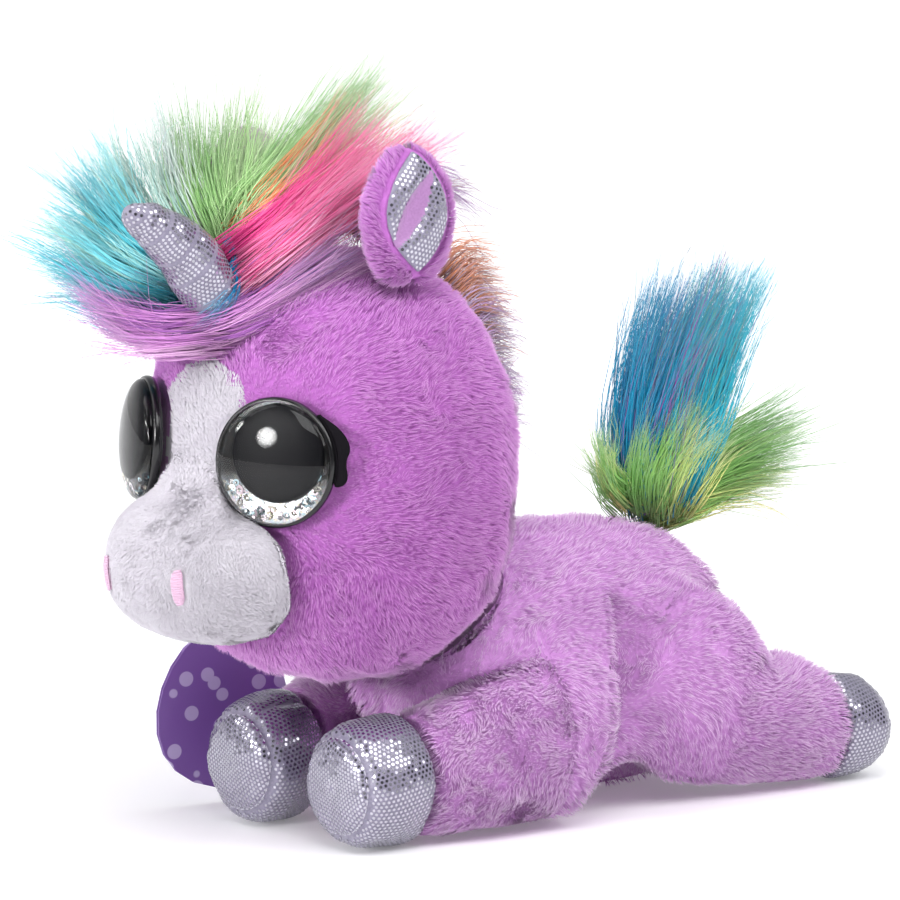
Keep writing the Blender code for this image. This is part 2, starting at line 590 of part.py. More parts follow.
def build_ear(side, tag):
    """A folded plush ear that stands on a rolled root, lined with foil cloth on its outer face."""
    pivot = Vector((side * EAR_PIVOT.x, EAR_PIVOT.y, EAR_PIVOT.z))
    x_way = Vector((1, 0, 0))
    y_way = Vector((0, 1, 0))

    def leaf(name, grow, **options):
        sections = []
        for rise, half_x, half_y in EAR_PROFILE:
            height = rise * EAR_ROOT if rise < 0 else rise
            centre = pivot + Vector((0, 0, height))
            sections.append((centre, half_x + grow, half_y + grow, x_way, y_way))
        poles = (pivot - Vector((0, 0, EAR_ROOT + grow)), pivot + Vector((0, 0, EAR_TIP + grow)))
        return loft(name, sections, poles, EAR_SEGMENTS, **options)

    leaf("ear_" + tag, 0.0, colour=LILAC, pivot=pivot)
    outline = LINING_LEAF + [(rise, -wide) for rise, wide in reversed(LINING_LEAF[1:-1])]
    outward = Matrix(((0, 0, side, 0), (0, 1, 0, 0), (1, 0, 0, 0), (0, 0, 0, 1)))
    place = Matrix.Translation(pivot) @ outward
    lining = prism("ear_lining_" + tag, outline, *LINING_SPAN, place, colour=SILVER, pivot=pivot,
                   roughness=0.35, metallic=0.3)
    subtract(lining, as_cutter(leaf("lining_top_" + tag, FIT + LINING_THICK)), "INTERSECT")
    subtract(lining, as_cutter(leaf("lining_bed_" + tag, FIT)))


# --- torso and legs --------------------------------------------------------------------------------
def along_y(stations, side, grow, rounded_ends):
    """Sections of a limb from stations of y, x, z, half width and half height.

    A grown or shrunk copy keeps its wall even over each rounded end, given as (where it starts, its pole).
    """
    sections = []
    for y, x, z, half_x, half_z in stations:
        shift = 0.0
        spread = 1.0
        for start, pole in rounded_ends:
            share = (y - start) / (pole - start)
            if share > 0:
                shift = grow * share * (1 if pole > start else -1)
                spread = math.sqrt(max(0.0, 1.0 - share * share))
        centre = Vector((side * x, y + shift, z))
        sections.append((centre, half_x + grow * spread, half_z + grow * spread,
                         Vector((1, 0, 0)), Vector((0, 0, 1))))
    return sections


def torso_shape(name, grow, **options):
    """The trunk, with room for the head and legs, flat under the belly."""
    stations = [(y, 0.0, z, half_x, half_z) for y, z, half_x, half_z in TORSO_STATIONS]
    rounded_ends = [(TORSO_MIDDLE[0], TORSO_ENDS[0][0]), (TORSO_MIDDLE[1], TORSO_ENDS[1][0])]
    sections = along_y(stations, 1, grow, rounded_ends)
    ends = [Vector((0, y + way * grow, z)) for (y, z), way in zip(TORSO_ENDS, (-1, 1))]
    trunk = loft(name, sections, ends, TORSO_SEGMENTS, **options)
    room = JOINT_ROOM - grow
    subtract(trunk, head_sweep(name + "_head_room", room))
    square = [(-FLOOR_HALF, -FLOOR_HALF), (FLOOR_HALF, -FLOOR_HALF), (FLOOR_HALF, FLOOR_HALF),
              (-FLOOR_HALF, FLOOR_HALF)]
    subtract(trunk, as_cutter(prism(name + "_floor", square, -FLOOR_DEPTH, -grow, Matrix.Identity(4))))
    for side, tag in SIDES:
        across = Matrix(((0, 0, side, 0), (1, 0, 0, 0), (0, 1, 0, 0), (0, 0, 0, 1)))
        outline = [(y, z - grow if z > 0 else z) for y, z in LEG_ROOM]
        leg_room = prism(name + "_leg_room_" + tag, outline, LEG_WALL + grow, LEG_WALL + 2 * BEYOND, across)
        subtract(trunk, as_cutter(leg_room))
    return trunk


def build_torso():
    """The trunk's cloth with its filling, both open at the neck."""
    skin = torso_shape("torso_skin", 0.0, colour=LILAC)
    subtract(skin, as_cutter(torso_shape("torso_hollow", -PLUSH)))
    subtract(skin, neck_cutter("torso_neck_hole", NECK_WELL, NECK_SEAM_SPAN))
    filling = torso_shape("torso_stuffing", -PLUSH - FIT, colour=FIBREFILL)
    subtract(filling, neck_cutter("torso_neck_well", NECK_WELL + FIT, NECK_WELL_SPAN))


def build_neck():
    """The wad of filling in the neck that the head nods on, between the head and the trunk."""
    wad = prism("neck_stuffing", circle(NECK_WAD, NECK_SEGMENTS), *NECK_WAD_SPAN, looking(HEAD, NECK_AXIS),
                colour=FIBREFILL, pivot=HEAD)
    subtract(wad, head_sweep("neck_head_room", JOINT_ROOM))


def leg_shape(name, stations, pole, start, side, grow, end_grow=0.0, **options):
    """One leg from its rounded root to the seam with its hoof."""
    sections = along_y(stations, side, grow, [(start, pole[0])])
    away = 1 if pole[0] > start else -1
    root = Vector((side * pole[1], pole[0] + away * grow, pole[2]))
    seam = sections[-1][0] - Vector((0, away * end_grow, 0))
    return loft(name, sections, (root, seam), LEG_SEGMENTS, **options)


def hoof_shape(name, stations, pole, start, side, grow, end_grow=0.0, **options):
    """One hoof from its seam with the leg to its rounded sole."""
    sections = along_y(stations, side, grow, [(start, pole[0])])
    away = 1 if pole[0] > start else -1
    tip = Vector((side * pole[1], pole[0] + away * grow, pole[2]))
    seam = sections[0][0] - Vector((0, away * end_grow, 0))
    return loft(name, sections, (seam, tip), LEG_SEGMENTS, **options)


def build_leg(kind, side, tag, joint, leg_data, hoof_data):
    """Plush leg and its filling, then the foil-cloth hoof and its filling."""
    pivot = Vector((side * joint.x, joint.y, joint.z))
    stations, pole = leg_data
    hoof_stations, hoof_pole, hoof_middle = hoof_data
    name = kind + "_" + tag
    way = 1 if stations[-1][0] > stations[0][0] else -1
    skin = leg_shape(name + "_skin", stations, pole, joint.y, side, 0.0, colour=LILAC, pivot=pivot)
    subtract(skin, as_cutter(leg_shape(name + "_hollow", stations, pole, joint.y, side, -PLUSH, SEAM_REACH)))
    last = stations[-1]
    inner = list(stations[:-1]) + [(last[0] - way * FIT, *last[1:])]
    leg_shape(name + "_stuffing", inner, pole, joint.y, side, -PLUSH - 2 * FIT, colour=FIBREFILL, pivot=pivot)
    hoof = name + "_hoof"
    shell = hoof_shape(hoof, hoof_stations, hoof_pole, hoof_middle, side, 0.0, colour=SILVER, pivot=pivot,
                       roughness=0.35, metallic=0.3)
    hollow = hoof_shape(hoof + "_hollow", hoof_stations, hoof_pole, hoof_middle, side, -FOIL_CLOTH, SEAM_REACH)
    subtract(shell, as_cutter(hollow))
    first = hoof_stations[0]
    inner = [(first[0] + way * FIT, *first[1:])] + list(hoof_stations[1:])
    hoof_shape(hoof + "_stuffing", inner, hoof_pole, hoof_middle, side, -FOIL_CLOTH - 2 * FIT,
               colour=FIBREFILL, pivot=pivot)


# --- hair, tail and tag ----------------------------------------------------------------------------
def tuft(name, spine, colour, pivot=Vector((0, 0, 0))):
    """A lock of long pile as one soft lobe along its spine."""
    points = [Vector(place) for place, _ in spine]
    sections = []
    for k, (place, radius) in enumerate(spine):
        ahead = points[min(k + 1, len(points) - 1)]
        behind = points[max(k - 1, 0)]
        way = (ahead - behind).normalized()
        u_way = way.cross(TUFT_REFERENCE).normalized()
        v_way = way.cross(u_way)
        sections.append((Vector(place), radius, radius, u_way, v_way))
    start = points[0] - (points[1] - points[0]).normalized() * spine[0][1] * TUFT_ROOT_ROUND
    end = points[-1] + (points[-1] - points[-2]).normalized() * spine[-1][1]
    return loft(name, sections, (start, end), TUFT_SEGMENTS, colour=colour, pivot=pivot)


def build_hair():
    """The mane's tufts, and the tail on its round root."""
    for name, spine in TUFTS.items():
        tuft(name, spine, TUFT_COLOURS[name])
    star_ball("tail_root", TAIL_PIVOT, lambda way: TAIL_ROOT, TAIL_ROOT_RINGS, TAIL_ROOT_SEGMENTS,
              colour=TAIL_ROOT_COLOUR, pivot=TAIL_PIVOT)
    for name, spine in TAIL_LOBES.items():
        tuft(name, spine, TAIL_COLOURS[name], TAIL_PIVOT)


def build_tag():
    """A folded egg-shaped card, and the thin plastic loop that holds it to the neck seam."""
    yaw = math.radians(TAG_YAW)
    face = Vector((math.sin(yaw), -math.cos(yaw), 0.0))
    place = looking(TAG_HOLE_AT, face)
    middle = TAG_ABOVE_HOLE - TAG_LENGTH / 2
    outline = []
    for u, v in circle(1.0, TAG_SEGMENTS):
        narrow = 1.0 - TAG_NARROWING * v
        outline.append((TAG_HALF_WIDTH * u * narrow, middle + TAG_LENGTH / 2 * v))
    half_gap = TAG_LEAF_GAP / 2
    card = prism("tag_card", outline, -half_gap - TAG_THICK, half_gap + TAG_THICK, place,
                 colour=TAG_PURPLE, roughness=0.4, pivot=TAG_HOLE_AT)
    slot_low = middle - TAG_LENGTH
    slot = [(-BEYOND, slot_low), (BEYOND, slot_low), (BEYOND, -TAG_FOLD_DROP), (-BEYOND, -TAG_FOLD_DROP)]
    subtract(card, as_cutter(prism("tag_leaf_gap", slot, -half_gap, half_gap, place)))
    subtract(card, as_cutter(prism("tag_hole", circle(TAG_HOLE, 12), -BEYOND, BEYOND, place)))
    swing = math.radians(TAG_YAW - TAG_LOOP_TURN)
    along = Vector((math.cos(swing), math.sin(swing), 0.0))
    across = Vector((math.sin(swing), -math.cos(swing), 0.0))
    start = TAG_HOLE_AT + along * TAG_LOOP_HALF
    wire_loop("tag_loop", start, along, across, TAG_LOOP_LENGTH - 2 * TAG_LOOP_HALF)


def wire_loop(name, start, along, across, length):
    """A thin closed loop: two straight strands joined by half circles."""
    path = []
    for centre, first in ((start, 90.0), (start + along * length, -90.0)):
        for k in range(TAG_BEND_STEPS + 1):
            turn = math.radians(first + 180.0 * k / TAG_BEND_STEPS)
            outward = along * math.cos(turn) + across * math.sin(turn)
            path.append((centre + outward * TAG_LOOP_HALF, outward))
    points = []
    faces = []
    sides = TAG_WIRE_SIDES
    for place, outward in path:
        for k in range(sides):
            turn = 2 * math.pi * k / sides
            lift = Vector((0, 0, TAG_WIRE * math.sin(turn)))
            points.append(place + outward * (TAG_WIRE * math.cos(turn)) + lift)
    count = len(path)
    for j in range(count):
        ahead = (j + 1) % count
        for k in range(sides):
            side = (k + 1) % sides
            faces.append((j * sides + k, ahead * sides + k, ahead * sides + side, j * sides + side))
    new_object(name, points, faces, colour=CLEAR_PLASTIC, roughness=0.3)


def main():
    clear_scene()
    build_head()
    build_blaze()
    build_muzzle()
    build_horn()
    build_torso()
    build_neck()
    for side, tag in SIDES:
        build_nostril(side, tag)
        build_ear(side, tag)
        build_leg("foreleg", side, tag, SHOULDER, (FORELEG_STATIONS, FORELEG_POLE),
                  (FORE_HOOF_STATIONS, FORE_HOOF_POLE, FORE_HOOF_MIDDLE))
        build_leg("hindleg", side, tag, HIP, (HINDLEG_STATIONS, HINDLEG_POLE),
                  (HIND_HOOF_STATIONS, HIND_HOOF_POLE, HIND_HOOF_MIDDLE))
    build_hair()
    build_tag()


main()
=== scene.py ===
"""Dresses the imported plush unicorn: curly plush pile, foil-dot cloth, glass eyes, rainbow mane and tail."""

import math

import bmesh
import bpy
import numpy as np
from mathutils import Matrix, Vector
from mathutils.bvhtree import BVHTree


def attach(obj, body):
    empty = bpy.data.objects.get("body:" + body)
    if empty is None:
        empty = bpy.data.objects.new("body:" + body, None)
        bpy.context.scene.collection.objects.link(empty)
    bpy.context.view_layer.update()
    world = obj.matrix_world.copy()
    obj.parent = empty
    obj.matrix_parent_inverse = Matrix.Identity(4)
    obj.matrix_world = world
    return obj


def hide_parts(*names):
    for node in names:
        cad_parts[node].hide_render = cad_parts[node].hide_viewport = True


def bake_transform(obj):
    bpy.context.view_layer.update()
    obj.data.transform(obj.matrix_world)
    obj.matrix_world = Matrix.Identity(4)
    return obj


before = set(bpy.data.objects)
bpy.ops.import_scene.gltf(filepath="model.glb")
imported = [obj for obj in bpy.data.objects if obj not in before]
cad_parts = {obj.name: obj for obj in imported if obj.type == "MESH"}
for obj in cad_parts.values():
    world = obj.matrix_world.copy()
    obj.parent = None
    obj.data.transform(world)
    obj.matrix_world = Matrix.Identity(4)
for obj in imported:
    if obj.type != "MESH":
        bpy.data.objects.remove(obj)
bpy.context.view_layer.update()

MM = 0.001
SIDES = ((1, "left"), (-1, "right"))
UP = np.array((0.0, 0.0, 1.0))
PILE_SHARE, PILE_WIDEN = ((1.0, 1.0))      # fewer, wider strands while working
HAIR_SHARE, HAIR_WIDEN = ((1.0, 1.0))
LEGS = [f"{kind}_{tag}" for kind in ("foreleg", "hindleg") for _, tag in SIDES]

# --- places and sizes, in millimetres, as in the frame ------------------------
HEAD = np.array((0.0, -58.0, 112.0))
EYE_AT = np.array((29.8, -101.2, 119.8))
EYE_YAW, EYE_TILT, EYE_RADIUS = 26.0, 4.0, 18.4
MUZZLE = np.array((0.0, -101.5, 86.5))
FACE = np.array((0.0, -118.0, 105.0))        # where the pile parts: it lies away from here
HORN_BASE, HORN_TIP = np.array((0.0, -101.0, 166.0)), np.array((0.0, -133.0, 193.0))
EAR_PIVOT = np.array((37.0, -58.5, 174.5))
FORE_HOOF, HIND_HOOF = np.array((24.4, -62.5, 19.7)), np.array((43.0, 114.5, 16.8))


# --- small helpers ------------------------------------------------------------
def unit(v):
    v = np.asarray(v, float)
    return v / np.maximum(np.linalg.norm(v, axis=-1, keepdims=True), 1e-9)


def mix(a, b, share):
    return a + (b - a) * share


def smooth_step(x, low, high):
    t = np.clip((x - low) / (high - low), 0.0, 1.0)
    return t * t * (3 - 2 * t)


def towards(azimuth, rise):
    """A way out from the toy, by its degrees about +Z from the front and above the level."""
    a, e = math.radians(azimuth), math.radians(rise)
    return np.array((math.sin(a) * math.cos(e), -math.cos(a) * math.cos(e), math.sin(e)))


def folded(points):
    """The same points with the right side turned over onto the left."""
    return np.abs(points) * (1, 0, 0) + points * (0, 1, 1)


def waves(points, size, seed, count=14):
    """Smooth noise of about -1 to 1 that varies over a length of about size."""
    draw = np.random.default_rng(seed)
    ways = draw.normal(size=(count, 3)) * (2.2 / size)
    turns = draw.uniform(0, 2 * math.pi, count)
    return np.cos(points @ ways.T + turns).sum(1) * (1.4 / math.sqrt(count))


def wave_vectors(points, size, seed):
    return np.stack([waves(points, size, seed + k) for k in range(3)], 1)


def make_piece(name, points, faces, material, uv=None, normals=None, smooth=True):
    """A mesh object from millimetre points and an array of triangles or quads."""
    faces = np.asarray(faces, np.int32)
    corners = faces.shape[1]
    data = bpy.data.meshes.new(name)
    data.vertices.add(len(points))
    data.vertices.foreach_set("co", (np.asarray(points) * MM).astype(np.float32).ravel())
    data.loops.add(faces.size)
    data.loops.foreach_set("vertex_index", faces.ravel())
    data.polygons.add(len(faces))
    data.polygons.foreach_set("loop_start", np.arange(0, faces.size, corners, dtype=np.int32))
    data.update(calc_edges=True)
    data.polygons.foreach_set("use_smooth", np.full(len(faces), smooth))
    if uv is not None:
        layer = data.uv_layers.new(name="OFBake")
        layer.data.foreach_set("uv", np.asarray(uv, np.float32).ravel())
    if normals is not None:
        data.normals_split_custom_set_from_vertices(np.asarray(normals, np.float32).tolist())
    data.materials.append(material)
    item = bpy.data.objects.new(name, data)
    bpy.context.scene.collection.objects.link(item)
    return item


def outward(points, faces):
    """The same closed shape with its faces turned outwards."""
    corners = points[faces]
    volume = np.einsum("ij,ij->", corners[:, 0], np.cross(corners[:, 1], corners[:, 2]))
    if faces.shape[1] == 4:
        volume += np.einsum("ij,ij->", corners[:, 0], np.cross(corners[:, 2], corners[:, 3]))
    return points, faces if volume > 0 else faces[:, ::-1]


def face_set(rings, segments, base=0):
    """Quads of a grid whose rings close on themselves."""
    quads = []
    for ring in range(rings - 1):
        low, high = base + ring * segments, base + (ring + 1) * segments
        for corner in range(segments):
            after = (corner + 1) % segments
            quads.append((low + corner, high + corner, high + after, low + after))
    return quads


def bvh(points, faces):
    return BVHTree.FromPolygons([Vector(p) for p in points], [tuple(f) for f in faces.tolist()])


def belongs(item, body, *nodes, fill=None, slot=None):
    """A piece moves with a body. It may stand for CAD nodes, which it hides. Its fill argument is not used,
    and its slot argument is not used.
    """
    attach(item, body)
    if nodes:
        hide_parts(*nodes)
    return item


# --- materials' own helpers ---------------------------------------------------
def new_material(name, colour=None, **values):
    made = bpy.data.materials.new(name)
    made.use_nodes = True
    shader = made.node_tree.nodes["Principled BSDF"]
    if colour is not None:
        shader.inputs["Base Color"].default_value = (*colour, 1.0)
    for socket, value in values.items():
        shader.inputs[socket.replace("_", " ")].default_value = value
    return made, made.node_tree, shader


def plain_material(name, colour, **values):
    return new_material(name, colour, **values)[0]


def add_node(tree, kind, inputs=None, **settings):
    node = tree.nodes.new(kind)
    for key, value in settings.items():
        setattr(node, key, value)
    for key, value in (inputs or {}).items():
        if isinstance(value, bpy.types.NodeSocket):
            tree.links.new(value, node.inputs[key])
        else:
            node.inputs[key].default_value = value
    return node


def colour_ramp(tree, factor, stops):
    node = add_node(tree, "ShaderNodeValToRGB", {"Fac": factor})
    ramp = node.color_ramp
    while len(ramp.elements) < len(stops):
        ramp.elements.new(0.5)
    for element, (place, colour) in zip(ramp.elements, stops):
        element.position = place
        element.color = (*colour, 1.0)
    return node.outputs["Color"]


def bump(tree, shader, height, strength, distance):
    node = add_node(tree, "ShaderNodeBump", {"Height": height, "Strength": strength, "Distance": distance})
    tree.links.new(node.outputs["Normal"], shader.inputs["Normal"])


def combined(tree, how, first, second):
    """One colour made by multiplying or adding two."""
    node = add_node(tree, "ShaderNodeMix", data_type="RGBA", blend_type=how)
    node.inputs["Factor"].default_value = 1.0
    tree.links.new(first, node.inputs["A"])
    tree.links.new(second, node.inputs["B"])
    return node.outputs["Result"]


def own_place(tree):
    return add_node(tree, "ShaderNodeTexCoord").outputs["Object"]


def own_map(tree):
    """The piece's own map: u goes from shade to shade, v from a strand's root to its tip."""
    where = add_node(tree, "ShaderNodeUVMap", uv_map="OFBake")
    split = add_node(tree, "ShaderNodeSeparateXYZ", {"Vector": where.outputs["UV"]})
    return split.outputs["X"], split.outputs["Y"]


def pile_material(name, along, across, tint=(1.0, 0.9, 1.0)):
    """Pile coloured from root to tip, with painted shade darkening the root, and from tone to tone at random.
    """
    made, tree, shader = new_material(name, Roughness=0.85, Sheen_Weight=0.35, Sheen_Roughness=0.4,
                                      Sheen_Tint=(*tint, 1.0), Specular_IOR_Level=0.25)
    u, v = own_map(tree)
    both = combined(tree, "MULTIPLY", colour_ramp(tree, v, along), colour_ramp(tree, u, across))
    tree.links.new(both, shader.inputs["Base Color"])
    return made


# --- surfaces taken from the frame --------------------------------------------
def node_solid(*names):
    """One BVH round some CAD nodes, in millimetres."""
    points, faces = [], []
    for name in names:
        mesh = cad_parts[name].data
        base = len(points)
        points += [v.co / MM for v in mesh.vertices]
        faces += [[base + k for k in polygon.vertices] for polygon in mesh.polygons]
    return BVHTree.FromPolygons(points, faces)


def grid_normals(points, faces):
    """Smooth vertex normals."""
    corners = points[faces]
    if faces.shape[1] == 4:
        facing = np.cross(corners[:, 2] - corners[:, 0], corners[:, 3] - corners[:, 1])
    else:
        facing = np.cross(corners[:, 1] - corners[:, 0], corners[:, 2] - corners[:, 0])
    total = np.zeros_like(points)
    for k in range(faces.shape[1]):
        np.add.at(total, faces[:, k], facing)
    return unit(total)


def relax(points, faces, rounds, share=0.5):
    """Evens out facets by moving each point towards the middle of its neighbours."""
    edges = np.concatenate([faces[:, [k, (k + 1) % faces.shape[1]]] for k in range(faces.shape[1])])
    edges = np.concatenate([edges, edges[:, ::-1]])
    count = np.bincount(edges[:, 0], minlength=len(points))[:, None]
    for _ in range(rounds):
        total = np.zeros_like(points)
        np.add.at(total, edges[:, 0], points[edges[:, 1]])
        points = mix(points, total / count, share)
    return points


def wrapped(nodes, voxel, rounds, inset, close=0.0):
    """One closed quad skin round CAD nodes, evened out and drawn in by inset. Crevices narrower than
    twice close are filled."""
    shape = bmesh.new()
    for name in nodes:
        part = bmesh.new()
        part.from_mesh(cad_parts[name].data)
        bmesh.ops.remove_doubles(part, verts=part.verts, dist=1e-6)
        for v in part.verts:
            v.co += v.normal * (close * MM)
        data = bpy.data.meshes.new("grown")
        part.to_mesh(data)
        part.free()
        shape.from_mesh(data)
    data = bpy.data.meshes.new("wrap")
    shape.to_mesh(data)
    shape.free()
    item = bpy.data.objects.new("wrap", data)
    bpy.context.scene.collection.objects.link(item)
    step = item.modifiers.new("remesh", "REMESH")
    step.mode = "VOXEL"
    step.voxel_size = voxel * MM
    made = item.evaluated_get(bpy.context.evaluated_depsgraph_get()).to_mesh()
    points = np.zeros(len(made.vertices) * 3)
    made.vertices.foreach_get("co", points)
    faces = np.array([tuple(polygon.vertices) for polygon in made.polygons])
    points = points.reshape(-1, 3) / MM
    bpy.data.objects.remove(item)
    points, faces = outer_shell(points, faces)
    points = relax(points, faces, rounds)
    points = points - grid_normals(points, faces) * (inset + close)
    return relax(points, faces, rounds // 3), faces


def outer_shell(points, faces):
    """Only the connected skin that holds the highest point."""
    label = np.arange(len(points))
    while True:
        low = label[faces].min(1)
        new = label.copy()
        for k in range(faces.shape[1]):
            np.minimum.at(new, faces[:, k], low)
        new = new[new]
        if (new == label).all():
            break
        label = new
    kept = label[faces[:, 0]] == label[np.argmax(points[:, 2])]
    used, faces_used = np.unique(faces[kept], return_inverse=True)
    return points[used], faces_used.reshape(-1, faces.shape[1])


def ball_grid(rings, segments, pole):
    """Directions and quads of a ball with its poles along +-pole, each closed by a fan."""
    pole = unit(pole)
    side = unit(np.cross(pole, (0.31, 0.17, 0.93)))
    other = np.cross(pole, side)
    polar = (np.arange(rings) + 0.5) / rings * math.pi
    turn = np.arange(segments) / segments * 2 * math.pi
    ways = (np.cos(polar)[:, None, None] * pole
            + np.sin(polar)[:, None, None] * (np.cos(turn)[None, :, None] * side
                                              + np.sin(turn)[None, :, None] * other))
    ways = np.concatenate([ways.reshape(-1, 3), [pole, -pole]])
    faces = face_set(rings, segments)
    top, low = rings * segments, rings * segments + 1
    last = (rings - 1) * segments
    for j in range(0, segments, 2):
        k, m = (j + 1) % segments, (j + 2) % segments
        faces.append((top, j, k, m))
        faces.append((low, last + m, last + k, last + j))
    return ways, np.array(faces)


def star_radii(solid, centre, ways, reach=200.0):
    """How far out a solid's surface lies along each way."""
    radii = np.zeros(len(ways))
    for k, way in enumerate(ways):
        hit = solid.ray_cast(Vector(centre + way * reach), Vector(-way), reach)
        radii[k] = reach - hit[3] if hit[0] is not None else 0.0
    return radii


def star_skin(names, centre, rings, segments, pole, rounds, inset):
    """A ball-like skin over CAD nodes."""
    ways, faces = ball_grid(rings, segments, pole)
    points = centre + ways * star_radii(node_solid(*names), centre, ways)[:, None]
    points = relax(points, faces, rounds)
    return points - grid_normals(points, faces) * inset, faces


def scatter(points, faces, count, draw):
    """Random places on a skin, with normals."""
    if faces.shape[1] == 4:
        faces = np.concatenate([faces[:, :3], faces[:, [0, 2, 3]]])
    normals = grid_normals(points, faces)
    a, b, c = (points[faces[:, k]] for k in range(3))
    area = np.linalg.norm(np.cross(b - a, c - a), axis=1)
    pick = draw.choice(len(faces), count, p=area / area.sum())
    u, v = draw.uniform(size=(2, count))
    over = u + v > 1
    u, v = np.where(over, 1 - u, u)[:, None], np.where(over, 1 - v, v)[:, None]
    places = a[pick] * (1 - u - v) + b[pick] * u + c[pick] * v
    f = faces[pick]
    return places, unit(normals[f[:, 0]] * (1 - u - v) + normals[f[:, 1]] * u + normals[f[:, 2]] * v)


def seen_through(places, normals, names, reach):
    """Which places have one of these CAD nodes just above them."""
    solid = node_solid(*names)
    return np.array([solid.ray_cast(Vector(p - n), Vector(n), reach)[0] is not None
                     for p, n in zip(places, normals)])


# --- pile ---------------------------------------------------------------------
def strands(name, places, normals, ways, lengths, width, shades, material, bend=0.35, body=None):
    """Closed spindles, each bent once: a root, three corners at the bend, and a tip."""
    count = len(places)
    width = np.broadcast_to(width, (count,))[:, None]
    lengths = np.asarray(lengths)[:, None]
    first = unit(mix(ways, normals, bend))
    second = unit(mix(ways, normals, -bend * 0.5))
    middle = places + first * lengths * 0.45
    tip = middle + second * lengths * 0.55
    side = unit(np.cross(first, normals + 0.01))
    other = np.cross(first, side)
    points = np.empty((count, 5, 3))
    shading = np.empty((count, 5, 3))
    points[:, 0] = places - normals * 0.6
    points[:, 4] = tip
    across = unit(normals - (normals * first).sum(1, keepdims=True) * first)
    lit = unit(normals * 0.9 + across * 0.2)
    shading[:, (0, 4)] = lit[:, None]
    for k in range(3):
        turn = 2 * math.pi * k / 3 + 0.5
        out = side * math.cos(turn) + other * math.sin(turn)
        points[:, 1 + k] = middle + out * width
        shading[:, 1 + k] = unit(lit + out * 0.25)
    base = (np.arange(count) * 5)[:, None]
    corners = [(0, 2, 1), (0, 3, 2), (0, 1, 3), (4, 1, 2), (4, 2, 3), (4, 3, 1)]
    faces = np.concatenate([base + np.array(corner) for corner in corners], 1).reshape(-1, 3)
    spots = np.array([(0, 0.0), (-0.004, 0.42), (0.004, 0.42), (0, 0.5), (0, 1.0)])
    uv = np.broadcast_to(spots[np.array(corners)][None], (count, 6, 3, 2)).copy()
    uv[..., 0] += np.clip(shades, 0.01, 0.99)[:, None, None]
    points = points.reshape(-1, 3)
    points[:, 2] = np.maximum(points[:, 2], 0.25)
    item = make_piece(name, points, faces, material, uv.reshape(-1, 2), shading.reshape(-1, 3))
    if body is not None:
        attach(item, body)
    return item


def pile(name, skin, count, length, width, flow, material, body, seed, lean=0.84, swirl=0.5, clump=2.2,
         gather=0.22, hide=(), hide_reach=14.0, trim=None, bend=0.35):
    """Plush pile over a skin: leaning along a flow, swirled, and gathered into small clumps."""
    draw = np.random.default_rng(seed)
    places, normals = scatter(*skin, int(count * PILE_SHARE), draw)
    keep = places[:, 2] > 0.5
    if trim is not None:
        lengths = length * trim(places, normals)
        keep &= lengths > 0.3
    else:
        lengths = np.full(len(places), float(length))
    if hide:
        keep &= ~seen_through(places, normals, hide, hide_reach)
    places, normals, lengths = places[keep], normals[keep], lengths[keep]
    lengths = lengths * draw.uniform(0.72, 1.12, len(places)) * (1 + 0.12 * waves(places, 9.0, 5))
    along = flow(places, normals) + swirl * wave_vectors(places, 16.0, 1)
    along = along + 0.3 * wave_vectors(places, 5.0, 11) + draw.normal(size=places.shape) * 0.14
    along = unit(along - (along * normals).sum(1, keepdims=True) * normals)
    tilt = (lean + 0.16 * waves(places, 7.0, 21))[:, None]
    ways = unit(normals * np.cos(tilt) + along * np.sin(tilt))
    tips = places + ways * lengths[:, None]
    cell = np.floor((places + 1.2 * wave_vectors(places, 6.0, 31)) / clump).astype(np.int64)
    _, group = np.unique(cell @ np.array((73856093, 19349663, 83492791)), return_inverse=True)
    group = group.reshape(-1)
    size = np.bincount(group)[:, None]
    middle = np.stack([np.bincount(group, tips[:, k]) for k in range(3)], 1) / size
    tips = mix(tips, middle[group], gather)
    ways = unit(tips - places)
    shades = 0.5 + 0.14 * waves(places, 12.0, 41) + 0.12 * draw.normal(size=len(places))
    shades += 0.2 * draw.normal(size=len(size))[group]
    return strands(name, places, normals, ways, lengths, width * PILE_WIDEN, shades, material, bend, body)


# --- camera, light and floor --------------------------------------------------
def place_camera():
    back, target, distance = Vector(towards(49.0, 8.5)), Vector((0.0, -0.01, 0.111)), 1.6
    right = Vector((-back.y, back.x, 0.0)).normalized()
    data = bpy.data.cameras.new("camera")
    data.sensor_width = 36.0
    data.lens = 211.2
    camera = bpy.data.objects.new("camera", data)
    turn = Matrix((right, back.cross(right), back)).transposed().to_4x4()
    camera.matrix_world = Matrix.Translation(target + back * distance) @ turn
    bpy.context.scene.collection.objects.link(camera)
    bpy.context.scene.camera = camera


